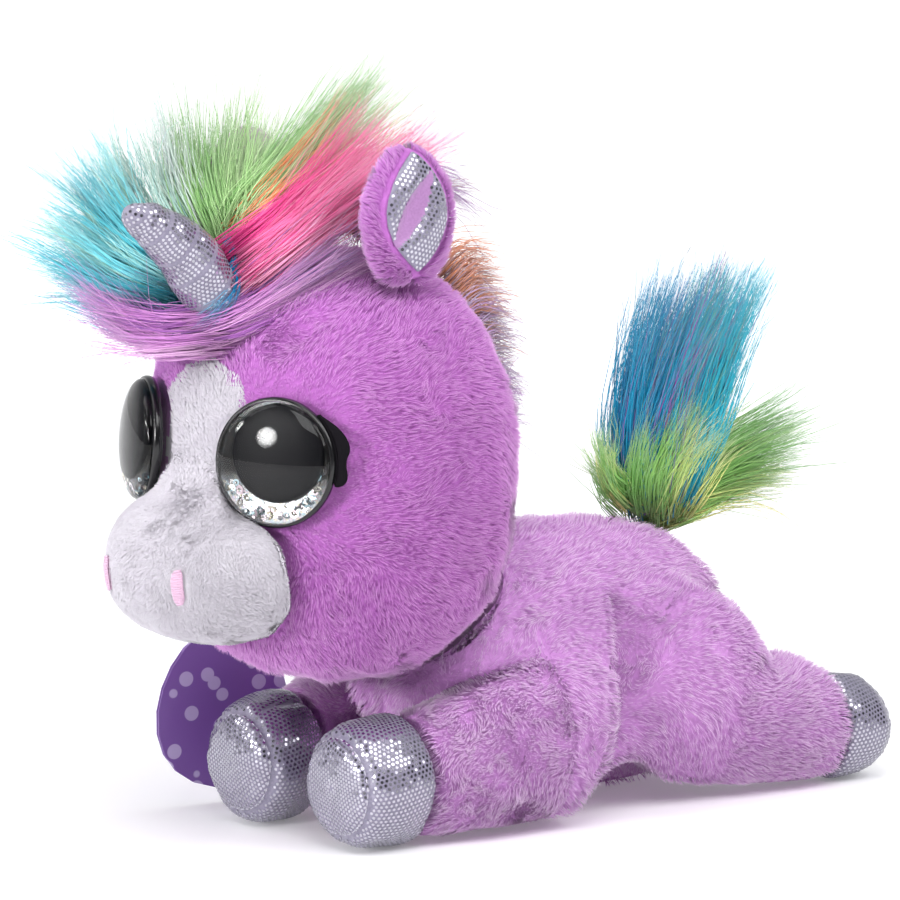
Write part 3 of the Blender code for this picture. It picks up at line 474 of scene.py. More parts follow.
def place_sky():
    """Pale at table height and dim above, with two dark flags and the bright spots that the eyes mirror."""
    world = bpy.data.worlds.new("studio")
    bpy.context.scene.world = world
    world.use_nodes = True
    tree = world.node_tree
    where = add_node(tree, "ShaderNodeTexCoord").outputs["Generated"]

    def facing(azimuth, rise):
        ends = {0: where, 1: towards(azimuth, rise)}
        return add_node(tree, "ShaderNodeVectorMath", ends, operation="DOT_PRODUCT").outputs["Value"]

    height = add_node(tree, "ShaderNodeSeparateXYZ", {"Vector": where})
    total = colour_ramp(tree, height.outputs["Z"], [(0.0, (1.0, 1.0, 1.0)), (0.12, (0.97, 0.97, 0.98)),
                                                    (0.45, (0.50, 0.51, 0.54)), (1.0, (0.34, 0.34, 0.37))])
    white = (1.0, 1.0, 1.0)
    flags = (((15.0, 12.41), [(0.0, white), (0.27, (0.30, 0.29, 0.31)), (0.52, (0.02, 0.019, 0.024))]),
             ((135.0, 14.04), [(0.78, white), (0.90, (0.05, 0.048, 0.055))]))
    for at, stops in flags:
        total = combined(tree, "MULTIPLY", total, colour_ramp(tree, facing(*at), stops))
    for azimuth, rise, core, edge, power in ((0.0, 14.0, 1.0, 0.991, 62.0), (-30.0, 20.0, 1.0, 0.996, 40.0),
                                             (-16.0, 12.0, 0.98, 0.86, 0.3)):
        lobe = add_node(tree, "ShaderNodeMapRange", {"Value": facing(azimuth, rise), "From Min": edge,
                                                     "From Max": core, "To Max": power},
                        interpolation_type="SMOOTHSTEP")
        total = combined(tree, "ADD", total, lobe.outputs["Result"])
    tree.links.new(total, tree.nodes["Background"].inputs["Color"])
    tree.nodes["Background"].inputs["Strength"].default_value = 1.0


def place_lamps():
    lights = (("key", -38.0, 46.0, 1.3, 0.75, 4.0), ("front", 52.0, 50.0, 1.5, 0.9, 13.0),
              ("right", 112.0, 40.0, 1.4, 0.8, 10.0), ("top", 200.0, 78.0, 1.6, 1.0, 6.0))
    for name, azimuth, rise, distance, size, power in lights:
        back = Vector(towards(azimuth, rise))
        data = bpy.data.lights.new(name, "AREA")
        data.shape = "SQUARE"
        data.size = size
        data.energy = power
        lamp = bpy.data.objects.new(name, data)
        lamp.location = Vector((0, 0, 0.1)) + back * distance
        lamp.rotation_mode = "QUATERNION"
        lamp.rotation_quaternion = back.to_track_quat("Z", "Y")
        bpy.context.scene.collection.objects.link(lamp)


def place_floor():
    """A pale floor that glows more the further it is, so that it meets the sky without an edge."""
    paint, tree, shader = new_material("floor_paint", (0.93, 0.93, 0.935), Roughness=0.6)
    reach = add_node(tree, "ShaderNodeVectorMath", {0: own_place(tree)}, operation="LENGTH")
    distance = reach.outputs["Value"]
    ends = {"Value": distance, "From Min": 0.15, "From Max": 1.6, "To Min": 0.15, "To Max": 0.82}
    glow = add_node(tree, "ShaderNodeMapRange", ends, interpolation_type="SMOOTHSTEP")
    shader.inputs["Emission Color"].default_value = (1.0, 1.0, 1.0, 1.0)
    tree.links.new(glow.outputs["Result"], shader.inputs["Emission Strength"])
    half, low = 6000.0, -0.3
    corners = [(-half, -half, low), (half, -half, low), (half, half, low), (-half, half, low)]
    make_piece("floor", corners, [(0, 1, 2, 3)], paint)


# --- materials ----------------------------------------------------------------
# Root-to-tip colours of the pile: each darkens and deepens towards the root, which is painted shade deep in
# the pile.
LILAC_ALONG = [(0.0, (0.40, 0.09, 0.45)), (0.40, (0.52, 0.165, 0.56)), (0.75, (0.63, 0.28, 0.66)),
               (1.0, (0.76, 0.46, 0.75))]
# The trunk's and legs' pile is a paler copy of the head's lilac: painted light from above on the trunk.
LIT_BODY_ALONG = [(0.0, (0.50, 0.17, 0.56)), (0.40, (0.64, 0.30, 0.69)), (0.75, (0.77, 0.54, 0.80)),
              (1.0, (0.90, 0.78, 0.90))]
LILAC_ACROSS = [(0.0, (0.84, 0.76, 0.86)), (0.5, (0.98, 0.97, 0.98)), (1.0, (1.0, 1.0, 1.0))]
PALE_ALONG = [(0.0, (0.64, 0.61, 0.67)), (0.5, (0.68, 0.65, 0.71)), (1.0, (0.72, 0.70, 0.75))]
PALE_ACROSS = [(0.0, (0.93, 0.91, 0.94)), (1.0, (1.0, 1.0, 1.0))]


SEQUIN_TINTS = [(0.0, (0.86, 0.88, 0.92)), (0.2, (0.62, 0.84, 0.92)), (0.35, (0.92, 0.94, 0.96)),
                (0.5, (0.95, 0.74, 0.84)), (0.65, (0.93, 0.95, 0.97)), (0.8, (0.96, 0.90, 0.66)),
                (1.0, (0.72, 0.74, 0.95))]


def speckled(tree, shader, scale, detail, stops, strength, depth):
    """A fine woven grain: colours and a bump that follow the same noise."""
    grain = {"Vector": own_place(tree), "Scale": scale, "Detail": detail}
    noise = add_node(tree, "ShaderNodeTexNoise", grain)
    tree.links.new(colour_ramp(tree, noise.outputs["Fac"], stops), shader.inputs["Base Color"])
    bump(tree, shader, noise.outputs["Fac"], strength, depth)


def cloth_material(name, colour, grain, strength):
    """The knitted backing that shows between the pile."""
    made, tree, shader = new_material(name, Roughness=0.95, Sheen_Weight=0.2)
    darker = tuple(c * 0.88 for c in colour)
    speckled(tree, shader, grain, 4.0, [(0.35, darker), (0.65, colour)], strength, 0.0006)
    return made


def foil_cloth_material():
    made, tree, shader = new_material("foil_cloth", Roughness=0.42, Sheen_Weight=0.3, Specular_IOR_Level=0.6)
    speckled(tree, shader, 1400.0, 2.0, [(0.3, (0.18, 0.165, 0.24)), (0.7, (0.26, 0.24, 0.33))], 0.25, 0.0003)
    return made


def glitter_material():
    """Silver glitter: each tiny cell has its own tint, and the upper ones carry painted shade, as if the
    pupil shaded them.
    """
    made, tree, shader = new_material("glitter", Roughness=0.22, Metallic=0.85)
    where = own_place(tree)
    cells = add_node(tree, "ShaderNodeTexVoronoi", {"Vector": where, "Scale": 1800.0})
    split = add_node(tree, "ShaderNodeSeparateColor", {"Color": cells.outputs["Color"]})
    place = add_node(tree, "ShaderNodeSeparateXYZ", {"Vector": where})
    # Painted shade: the disc darkens upwards, from 0.62 to 0.02 of its tint.
    ends = {"Value": place.outputs["Z"], "From Min": 0.107, "From Max": 0.117, "To Min": 0.62, "To Max": 0.02}
    painted_pupil_shade = add_node(tree, "ShaderNodeMapRange", ends).outputs["Result"]
    tint = colour_ramp(tree, split.outputs["Red"], SEQUIN_TINTS)
    tree.links.new(combined(tree, "MULTIPLY", tint, painted_pupil_shade), shader.inputs["Base Color"])
    bump(tree, shader, split.outputs["Green"], 0.6, 0.0004)
    return made


def sequin_material():
    """Foil tinted ring by ring from its own map."""
    made, tree, shader = new_material("sequin", Roughness=0.16, Metallic=1.0)
    tree.links.new(colour_ramp(tree, own_map(tree)[0], SEQUIN_TINTS), shader.inputs["Base Color"])
    return made


def hair_material(name, shades, pale=0.28):
    """Silky hair in a row of shades, with painted shade darkening the root and a painted pale glow of light
    through the tip.
    """
    made, tree, shader = new_material(name, Roughness=0.5, Sheen_Weight=0.15, Sheen_Roughness=0.4,
                                      Specular_IOR_Level=0.3)
    u, v = own_map(tree)
    # Painted shade: the root is darker, as if shaded deep in the lock.
    depth = colour_ramp(tree, v, [(0.0, (0.6,) * 3), (0.3, (1.0,) * 3)])
    lit = combined(tree, "MULTIPLY", colour_ramp(tree, u, shades), depth)
    # Painted light: the tip fades to pale, as if lit through.
    painted_tip_glow = colour_ramp(tree, v, [(0.65, (0.0,) * 3), (1.0, (pale,) * 3)])
    tip_glow_mix = add_node(tree, "ShaderNodeMix", data_type="RGBA")
    tree.links.new(painted_tip_glow, tip_glow_mix.inputs["Factor"])
    tree.links.new(lit, tip_glow_mix.inputs["A"])
    tip_glow_mix.inputs["B"].default_value = (0.86, 0.88, 0.90, 1.0)
    tree.links.new(tip_glow_mix.outputs["Result"], shader.inputs["Base Color"])
    return made


place_camera()
place_sky()
place_lamps()
place_floor()
bpy.context.scene.view_settings.view_transform = "Standard"
LILAC_CLOTH = cloth_material("lilac_backing", (0.50, 0.155, 0.54), 900.0, 0.3)
# The trunk's and legs' backing is a paler copy of the head's lilac backing: painted light from above.
BODY_CLOTH = cloth_material("lit_body_backing", (0.62, 0.29, 0.67), 900.0, 0.3)
PALE_CLOTH = cloth_material("pale_backing", (0.68, 0.65, 0.71), 1300.0, 0.2)
# Dark mauve cloth for the deep pinch of each ear lining: painted shade and purple bounce light in the fold.
FOLD_SHADE_CLOTH = cloth_material("fold_shade_lining", (0.42, 0.22, 0.46), 1500.0, 0.3)
TAIL_CLOTH = cloth_material("tail_backing", (0.10, 0.26, 0.10), 900.0, 0.5)
FILLING = cloth_material("fibrefill", (0.80, 0.80, 0.80), 500.0, 0.8)
LILAC_PILE = pile_material("lilac_pile", LILAC_ALONG, LILAC_ACROSS)
BODY_PILE = pile_material("lit_body_pile", LIT_BODY_ALONG, LILAC_ACROSS)
PALE_PILE = pile_material("pale_pile", PALE_ALONG, PALE_ACROSS, tint=(1.0, 1.0, 1.0))
FOIL_CLOTH, GLITTER, SEQUIN = foil_cloth_material(), glitter_material(), sequin_material()
FOIL_DOT = plain_material("foil_dot", (0.50, 0.49, 0.56), Metallic=1.0, Roughness=0.22)
THREAD = plain_material("sewing_thread", (0.66, 0.64, 0.74), Roughness=0.6)
PINK_THREAD = plain_material("nostril_thread", (0.62, 0.40, 0.55), Roughness=0.4, Sheen_Weight=0.3)
BLACK_GLOSS = plain_material("black_plastic", (0.006, 0.006, 0.007), Roughness=0.2)
PUPIL = plain_material("pupil", (0.002, 0.002, 0.003), Roughness=0.4, Specular_IOR_Level=0.1)
FELT = plain_material("black_felt", (0.006, 0.005, 0.007), Roughness=0.9, Specular_IOR_Level=0.1)
CLEAR = plain_material("clear_dome", (1.0, 1.0, 1.0), Roughness=0.03, Transmission_Weight=1.0, IOR=1.3)


# --- where the eyes are -------------------------------------------------------
def eye_frame(side):
    """An eye's middle and its own axes: outwards, sideways and up."""
    out = towards(side * EYE_YAW, EYE_TILT)
    across = unit(np.cross(UP, out))
    return EYE_AT * (side, 1, 1), out, across, np.cross(out, across)


def eye_distance(places):
    """Distance of each place from the nearer eye's axis, and the way straight out from that axis."""
    best, away = np.full(len(places), 1e9), np.zeros_like(places)
    for side, _ in SIDES:
        middle, out, _, _ = eye_frame(side)
        offset = places - middle
        flat = offset - (offset @ out)[:, None] * out
        reach = np.linalg.norm(flat, axis=1) + np.where(offset @ out < -25, 50, 0)
        nearer = reach < best
        best = np.where(nearer, reach, best)
        away[nearer] = unit(flat)[nearer]
    return best, away


# --- head ---------------------------------------------------------------------
BLAZE_RISE = np.array([100.0, 125.0, 134.0, 138.7, 143.7, 146.5])
BLAZE_HALF = np.array([22.0, 19.0, 19.0, 16.0, 10.4, 0.0])


def on_blaze(points, margin=0.0):
    """Which points of the head lie on its pale blaze, or within a margin of it."""
    half = np.interp(points[:, 2], BLAZE_RISE + margin, BLAZE_HALF + margin)
    inside = np.abs(points[:, 0]) < half + 0.7 * waves(points, 5.0, 61)
    return inside & (points[:, 1] < -70) & (points[:, 2] > 98)


def dress_head():
    skin = star_skin(["head_skin", "head_stuffing"], HEAD, 56, 96, UP, 6, 2.0)
    item = make_piece("head_plush", *skin, LILAC_CLOTH)
    belongs(item, "head", "head_skin", "head_stuffing", fill=0.8)
    points, faces = skin
    item.data.materials.append(PALE_CLOTH)
    item.data.polygons.foreach_set("material_index", on_blaze(points[faces].mean(1), -1.5).astype(np.int32))

    def flow(places, normals):
        near, away = eye_distance(places)
        back = unit(places - FACE)
        pull = np.exp(-((near - EYE_RADIUS) / 9.0) ** 2)[:, None]
        return back + away * pull * 1.6 + np.array((0, 0.25, -0.35))

    def trim(places, normals):
        near, _ = eye_distance(places)
        short = mix(0.42, 1.0, smooth_step(near, EYE_RADIUS + 1, EYE_RADIUS + 14))
        return np.where((near < EYE_RADIUS - 0.5) | on_blaze(places), 0.0, short)

    hidden = ["blaze_patch", "muzzle_skin", "horn_skin"]
    for part in range(4):
        pile(f"head_pile_{part}", skin, 25000, 3.7, 0.125, flow, LILAC_PILE, "head", 100 + part, hide=hidden,
             trim=trim)
    front = (points, faces[on_blaze(points[faces].mean(1), 4.0)])
    pile("blaze_pile", front, 16000, 1.9, 0.12, lambda p, n: unit(p - FACE) + (0, 0, 0.6), PALE_PILE, "head",
         150, lean=0.95, swirl=0.3, clump=2.5, gather=0.2, hide=["horn_skin"],
         trim=lambda p, n: np.where((eye_distance(p)[0] < EYE_RADIUS - 0.5) | ~on_blaze(p), 0.0, 1.0))


# --- more shapes --------------------------------------------------------------
def lathe(name, profile, axes, material, shift=(0.0, 0.0), segments=72):
    """A profile of (radius, height) turned about the outward axis of an eye."""
    middle, out, across, up = axes
    turn = (np.arange(segments) / segments * 2 * math.pi)[:, None]
    points = []
    for radius, height in profile:
        reach = max(radius, 0.02)
        centre = middle + out * height + across * shift[0] + up * shift[1]
        points.append(centre + np.cos(turn) * across * reach + np.sin(turn) * up * reach)
    faces = np.array(face_set(len(profile), segments))
    return make_piece(name, *outward(np.concatenate(points), faces), material)


def dots(name, places, normals, radius, material, body, tilt=0.05, seed=5, lift=0.12):
    """Small flat six-sided foil dots lying on a cloth."""
    draw = np.random.default_rng(seed)
    count = len(places)
    normals = unit(normals + draw.normal(size=normals.shape) * tilt)
    side = unit(np.cross(normals, (0.2, 0.5, 0.84)))
    other = np.cross(normals, side)
    points = np.empty((count, 6, 3))
    for k in range(6):
        turn = math.pi * k / 3
        points[:, k] = places + normals * lift + (side * math.cos(turn) + other * math.sin(turn)) * radius
    base = (np.arange(count) * 6)[:, None]
    faces = np.concatenate([base + np.array(c) for c in ((0, 1, 2), (0, 2, 3), (0, 3, 4), (0, 4, 5))], 1)
    item = make_piece(name, points.reshape(-1, 3), faces.reshape(-1, 3), material,
                      normals=np.repeat(normals, 6, axis=0))
    belongs(item, body)


def staggered(width, height, pitch):
    """Places of a staggered grid that fills a rectangle about the origin."""
    rows = np.arange(-math.ceil(height / pitch / 0.866), math.ceil(height / pitch / 0.866) + 1)
    columns = np.arange(-math.ceil(width / pitch), math.ceil(width / pitch) + 1)
    u, v = np.meshgrid(columns * pitch, rows * pitch * 0.866)
    return np.stack([(u + (rows % 2)[:, None] * pitch / 2).ravel(), v.ravel()], 1)


def stitches(name, path, normals, material, body, step=2.3, length=1.5, radius=0.16):
    """Thread dashes along a path of closely spaced points."""
    reach = np.concatenate([[0], np.cumsum(np.linalg.norm(np.diff(path, axis=0), axis=1))])
    starts = np.arange(0.4, reach[-1] - length, step)

    def at(distances, what):
        return np.stack([np.interp(distances, reach, what[:, k]) for k in range(3)], 1)
    first, last = at(starts, path), at(starts + length, path)
    lift = unit(at(starts + length / 2, normals))
    along = unit(last - first)
    side = np.cross(along, lift)
    points, faces = [], []
    for k in range(len(starts)):
        base = len(points)
        for end, share in ((first[k], 0.45), (mix(first[k], last[k], 0.5), 1.0), (last[k], 0.45)):
            for j in range(5):
                turn = 2 * math.pi * j / 5
                points.append(end + lift[k] * (radius * share * (math.sin(turn) + 0.6))
                              + side[k] * radius * share * math.cos(turn))
        faces += face_set(3, 5, base)
    belongs(make_piece(name, *outward(np.array(points), np.array(faces)), material), body)


# --- trunk and legs -----------------------------------------------------------
def nearest(solid, points):
    """Distance from each point to a solid's surface."""
    return np.array([solid.find_nearest(Vector(p))[3] for p in points])


CREASE = np.array([(36, 27, 73), (42, 28, 59), (47, 23, 41), (50, 12, 18), (48, 6, 8)], float)
LEG_ROOTS = {"foreleg": (np.array((35.0, 0.0, 27.8)), -1), "hindleg": (np.array((37.0, 58.0, 36.0)), 1)}
THROAT = (38.0, -27.0, 61.0)
TRUNK_REACH = 8.0           # how far from the CAD trunk its plush still moves with the trunk
BODY_PILE_LENGTH, HAIR_WIDTH = 3.7, 0.125


def short_below(places, normals):
    """The pile's share of its length: it is pressed short under the toy."""
    return np.where((places[:, 2] < 5) & (normals[:, 2] < -0.5), 0.35, 1.0)


def pressed(points):
    """The same points, with the dip on top of each hind leg, between the rump and the hoof."""
    depth = 9.0 * np.exp(-((points[:, 1] - 80.0) / 11.0) ** 2) * smooth_step(np.abs(points[:, 0]), 12.0, 26.0)
    return points - UP * (depth * smooth_step(points[:, 2], 26.0, 50.0))[:, None]


def creased(points):
    """The same points, with the deep fold between each shoulder and hip."""
    depth = np.zeros(len(points))
    flat = folded(points)
    for k in range(len(CREASE) - 1):
        step = CREASE[k + 1] - CREASE[k]
        reach = np.clip(((flat - CREASE[k])[:, 1:] @ step[1:]) / (step[1:] @ step[1:]), 0, 1)
        off = np.linalg.norm((flat - CREASE[k] - reach[:, None] * step)[:, 1:], axis=1)
        wide = np.where(flat[:, 1] > CREASE[k, 1] + reach * step[1], 6.0, 2.6)
        depth = np.maximum(depth, 8.0 * np.exp(-(off / wide) ** 2) * smooth_step(k + reach, 0.0, 0.8))
    depth = depth * smooth_step(flat[:, 0], 26.0, 36.0)
    return points - np.sign(points[:, :1]) * np.array((1.0, 0, 0)) * depth[:, None]


def trunk_core():
    """One skin round the trunk and the legs' roots. With it come the distances of its points from the CAD
    trunk and from the nearest leg, which leg that is, and how far along that leg they lie."""
    leg_nodes = [name + part for name in LEGS for part in ("_skin", "_stuffing")]
    points, faces = wrapped(["torso_skin", "torso_stuffing", *leg_nodes], 1.8, 14, 1.6, close=7.0)
    for _ in range(2):
        calm = relax(points, faces, 30)
        points = mix(points, calm, smooth_step(np.linalg.norm(points - calm, axis=1), 0.8, 2.2)[:, None])
    trunk = nearest(node_solid("torso_skin"), points)
    distances = np.array([nearest(node_solid(name + "_skin"), points) for name in LEGS])
    owner, limb = distances.argmin(0), distances.min(0)
    fore_root, hind_root = LEG_ROOTS["foreleg"][0][1], LEG_ROOTS["hindleg"][0][1]
    along = np.where(owner < 2, fore_root - points[:, 1], points[:, 1] - hind_root)
    dive = smooth_step(along, 5.0, 21.0) * smooth_step(trunk, 2.0, 8.0) * (1 - smooth_step(limb, 2.5, 6.0))
    dive = dive[:, None]
    for _ in range(6):
        points = points - grid_normals(points, faces) * dive * 1.3
        points = mix(points, relax(points, faces, 3), dive)
    points = creased(pressed(points))
    throat = np.linalg.norm(folded(points) - THROAT, axis=1)
    points = points + grid_normals(points, faces) * (4.5 * np.exp(-(throat / 15.0) ** 2))[:, None]
    return points, faces, trunk, limb, owner, along


def dress_trunk():
    """The trunk's plush runs on under the legs' own plush, so that their rooms don't show as holes. Each
    leg's share of it is a cloth and pile of its own, which dives under the leg's plush and is tied to no
    body."""
    points, faces, trunk, limb, owner, along = trunk_core()
    nearer, further = trunk[faces].min(1), trunk[faces].max(1)
    clear, reach = limb[faces].min(1), along[faces].max(1)
    pile_shown = (further < TRUNK_REACH) | (reach < 26.0) | (clear > 3.0)
    shown = pile_shown | ((reach < 46.0) & (owner[faces].max(1) < 2))
    corners = points[faces]
    area = np.linalg.norm(np.cross(corners[:, 2] - corners[:, 0], corners[:, 3] - corners[:, 1]), axis=1) / 2
    density = 58000 / area[pile_shown].sum()

    def cut(kept, inset=0.0):
        used, cells = np.unique(faces[kept], return_inverse=True)
        return (points - grid_normals(points, faces) * inset)[used], cells.reshape(-1, 4)

    def flow(places, normals):
        return np.array((0.0, 0.9, -0.55)) + 0 * places
    own = further < TRUNK_REACH
    cloth = make_piece("trunk_plush", *cut(own | (shown & (further < TRUNK_REACH + 1.5))), BODY_CLOTH)
    belongs(cloth, "torso", "torso_skin", "torso_stuffing", fill=0.8)
    for part in range(3):
        strands = area[own].sum() * density / 3
        pile(f"trunk_pile_{part}", cut(own), strands, BODY_PILE_LENGTH, HAIR_WIDTH, flow, BODY_PILE, "torso",
             200 + part, trim=short_below)
    for number, name in enumerate(LEGS):
        root, way = LEG_ROOTS[name[:7]]
        root = root * ((-1, 1)["left" in name], 1, 1) * MM
        leg_side = owner[faces[:, 0]] == number
        cloth = make_piece(name + "_root_plush", *cut(leg_side & shown & (nearer > 6.0), 0.3), BODY_CLOTH)
        haired = leg_side & pile_shown & (nearer > 6.5)
        solid = node_solid(name + "_skin")

        def above(places, normals):
            """No pile where the cloth has gone deep under the leg's own."""
            found = [solid.find_nearest(Vector(place)) for place in places]
            height = np.array([(Vector(place) - hit[0]).dot(hit[1]) for place, hit in zip(places, found)])
            return np.where(height < -3.6, 0.0, short_below(places, normals))

        strands = area[haired].sum() * density
        hair = pile(name + "_root_pile", cut(haired), strands, BODY_PILE_LENGTH, HAIR_WIDTH,
                    flow, BODY_PILE, None, 220 + number, trim=above)
        for item in (cloth, hair):
            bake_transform(item)


def dress_leg(kind, side, tag, way):
    name = f"{kind}_{tag}"
    points, faces = wrapped([name + "_skin", name + "_stuffing"], 1.6, 12, 1.3 if kind == "foreleg" else 0.6)
    points = pressed(points) if kind == "hindleg" else points

    def along(places):
        return (places[:, 1] - LEG_ROOTS[kind][0][1]) * way
    sunk = 1 - smooth_step(along(points), 0.0, 11.0)
    skin = (creased(points - grid_normals(points, faces) * (1.4 * sunk)[:, None]), faces)
    cloth = make_piece(name + "_plush", *skin, BODY_CLOTH)
    belongs(cloth, name, name + "_skin", name + "_stuffing", fill=0.8)

    def flow(places, normals):
        return np.array((0.12 * side, way * 0.9, -0.4)) + 0 * places

    def trim(places, normals):
        return short_below(places, normals) * smooth_step(along(places), 1.0, 9.0)
    for part in range(2):
        pile(f"{name}_pile_{part}", skin, 14000, BODY_PILE_LENGTH, HAIR_WIDTH, flow, BODY_PILE, name,
             300 + part + 10 * side + way, trim=trim)


# --- foil-dot cloth -----------------------------------------------------------
DOT_PITCH, DOT_RADIUS = 1.5, 0.5
HOOF_RINGS, HOOF_SEGMENTS = 64, 96
SOLE_EDGE = math.radians(54.0)


def on_ball(skin, normals, polar, turn):
    """Places and normals on a ball grid, between its rings and segments."""
    i = np.clip(polar / math.pi * HOOF_RINGS - 0.5, 0, HOOF_RINGS - 1.001)
    j = (turn / (2 * math.pi) * HOOF_SEGMENTS) % HOOF_SEGMENTS
    i0, j0 = i.astype(int), j.astype(int) % HOOF_SEGMENTS
    fi, fj = (i - i0)[:, None], (j - np.floor(j))[:, None]
    j1 = (j0 + 1) % HOOF_SEGMENTS

    def blend_of(what):
        low = mix(what[i0 * HOOF_SEGMENTS + j0], what[i0 * HOOF_SEGMENTS + j1], fj)
        high = mix(what[(i0 + 1) * HOOF_SEGMENTS + j0], what[(i0 + 1) * HOOF_SEGMENTS + j1], fj)
        return mix(low, high, fi)
    return blend_of(skin), unit(blend_of(normals))


def dress_hoof(kind, side, tag, way):
    """A stuffed hoof of foil-dot cloth: a round sole panel, a side panel, and the seams between them."""
    name = f"{kind}_{tag}"
    centre = (FORE_HOOF if kind == "foreleg" else HIND_HOOF) * (side, 1, 1)
    pole = unit(np.array((-side * 0.06, way, 0.0)))
    points, faces = star_skin([name + "_hoof", name + "_hoof_stuffing"], centre, HOOF_RINGS, HOOF_SEGMENTS,
                              pole, 10, 0.0)
    ways = unit(points - centre)
    polar = np.arccos(np.clip(ways @ pole, -1, 1))
    side_way = unit(np.cross(pole, (0.31, 0.17, 0.93)))
    other_way = np.cross(pole, side_way)
    turn = np.arctan2(ways @ other_way, ways @ side_way)
    seam_way = unit(np.array((-side * 0.45, 0.0, 1.0)))
    seam_turn = math.atan2(seam_way @ other_way, seam_way @ side_way)
    off_turn = np.abs((turn - seam_turn + math.pi) % (2 * math.pi) - math.pi)
    groove = 0.75 * np.exp(-((polar - SOLE_EDGE) / 0.045) ** 2)
    groove += 0.6 * np.exp(-(off_turn / 0.05) ** 2) * smooth_step(polar, SOLE_EDGE, SOLE_EDGE + 0.1)
    puff = 0.5 * np.sin(np.clip(polar / SOLE_EDGE, 0, 1) * math.pi)
    pucker = 0.16 * np.cos(turn * 19) * np.exp(-((polar - SOLE_EDGE) / 0.16) ** 2)
    crumple = 0.22 * waves(points, 7.0, 71 + side)
    points = points + ways * (puff + pucker + crumple - groove)[:, None]
    points[:, 2] = np.maximum(points[:, 2], 0.15)
    cloth = make_piece(name + "_hoof_cloth", points, faces, FOIL_CLOTH)
    belongs(cloth, name, name + "_hoof", name + "_hoof_stuffing", fill=0.9, slot="foil_cloth")
    normals = grid_normals(points, faces)
    radius = 19.0 if kind == "foreleg" else 15.8
    grid = staggered(radius * math.pi, radius * math.pi, DOT_PITCH)
    far = np.hypot(*grid.T) / radius
    sole = far < SOLE_EDGE - 0.035
    spots = [on_ball(points, normals, far[sole], np.arctan2(grid[sole, 1], grid[sole, 0]) % (2 * math.pi))]
    around, down = (grid @ np.array([[0.94, 0.34], [-0.34, 0.94]])).T
    band_turn, band_polar = around / (radius * 0.95), SOLE_EDGE + (down + radius * 1.1) / radius
    band = np.abs(band_turn) < math.pi - 0.03
    band &= (band_polar > SOLE_EDGE + 0.04) & (band_polar < math.radians(128))
    band_turn = (band_turn[band] + seam_turn + math.pi) % (2 * math.pi)
    spots.append(on_ball(points, normals, band_polar[band], band_turn))
    places = np.concatenate([spot[0] for spot in spots])
    facing = np.concatenate([spot[1] for spot in spots])
    lifted = places[:, 2] > 0.5
    dots(name + "_hoof_dots", places[lifted], facing[lifted], DOT_RADIUS, FOIL_DOT, name, seed=80 + side)
    turns = np.linspace(0, 2 * math.pi, 200)
    path, facing = on_ball(points, normals, np.full(200, SOLE_EDGE - 0.05), turns)
    path[:, 2] = np.maximum(path[:, 2], 0.5)
    stitches(name + "_hoof_stitches", path, facing, THREAD, name)


def dress_horn():
    """A stuffed, slightly bent cone of foil-dot cloth with one seam across its tip."""
    axis = unit(HORN_TIP - HORN_BASE)
    length = np.linalg.norm(HORN_TIP - HORN_BASE)
    side = np.array((1.0, 0.0, 0.0))
    lift = np.cross(axis, side)
    solid = node_solid("horn_skin", "horn_stuffing")
    rings, segments = 46, 64
    near_tip = 0.9 + 0.095 * np.sin(np.linspace(0.1, 1, 8) * 1.5)
    share = np.concatenate([np.linspace(-0.1, 0.9, rings - 8), near_tip])
    turn = np.arange(segments) / segments * 2 * math.pi
    points = []
    for t in share:
        middle = HORN_BASE + axis * length * t + lift * 3.0 * math.sin(math.pi * max(t, 0))
        for a in turn:
            out = side * math.cos(a) + lift * math.sin(a)
            hit = solid.ray_cast(Vector(middle + out * 30), Vector(-out), 30)
            radius = 30 - hit[3] if hit[0] is not None else 9.0
            points.append(middle + out * min(radius, 10.5))
    points = np.array(points)
    points = np.concatenate([points, [HORN_TIP + axis * 0.1]])
    faces = face_set(rings, segments)
    tip = len(points) - 1
    last = (rings - 1) * segments
    faces += [(last + j, tip, last + (j + 2) % segments, last + (j + 1) % segments)
              for j in range(0, segments, 2)]
    faces = np.array(faces)[:, ::-1]
    points = relax(points, faces, 6)
    turns = np.arctan2(((points - HORN_BASE) @ lift), (points - HORN_BASE) @ side)
    along = (points - HORN_BASE) @ axis / length
    normals = grid_normals(points, faces)
    seam_at = 0.80 + 0.05 * np.cos(turns * 2 + 0.6)
    points = points - normals * (0.5 * np.exp(-((along - seam_at) / 0.018) ** 2))[:, None]
    points = points + normals * (0.25 * waves(points, 6.0, 91))[:, None]
    cloth = make_piece("horn_cloth", *outward(points, faces), FOIL_CLOTH)
    belongs(cloth, "head", "horn_skin", "horn_stuffing", fill=0.9, slot="foil_cloth")
    normals = grid_normals(points, faces)
    ring_points = points[:-1].reshape(rings, segments, 3)
    ring_normals = normals[:-1].reshape(rings, segments, 3)
    places, facing = [], []
    row = 0
    for s in np.arange(0.5, length - 1.0, DOT_PITCH * 0.866):
        t = s / length
        i = int(np.argmin(np.abs(share - t)))
        radius = np.linalg.norm(ring_points[i] - ring_points[i].mean(0), axis=1).mean()
        if radius < 1.5:
            continue
        for u in np.arange(-math.pi * radius, math.pi * radius - 0.8, DOT_PITCH) + (row % 2) * DOT_PITCH / 2:
            j = (u / radius - 1.0) / (2 * math.pi) * segments % segments
            j0 = int(j) % segments
            places.append(mix(ring_points[i, j0], ring_points[i, (j0 + 1) % segments], j - math.floor(j)))
            facing.append(ring_normals[i, j0])
        row += 1
    dots("horn_dots", np.array(places), np.array(facing), DOT_RADIUS, FOIL_DOT, "head", seed=92)


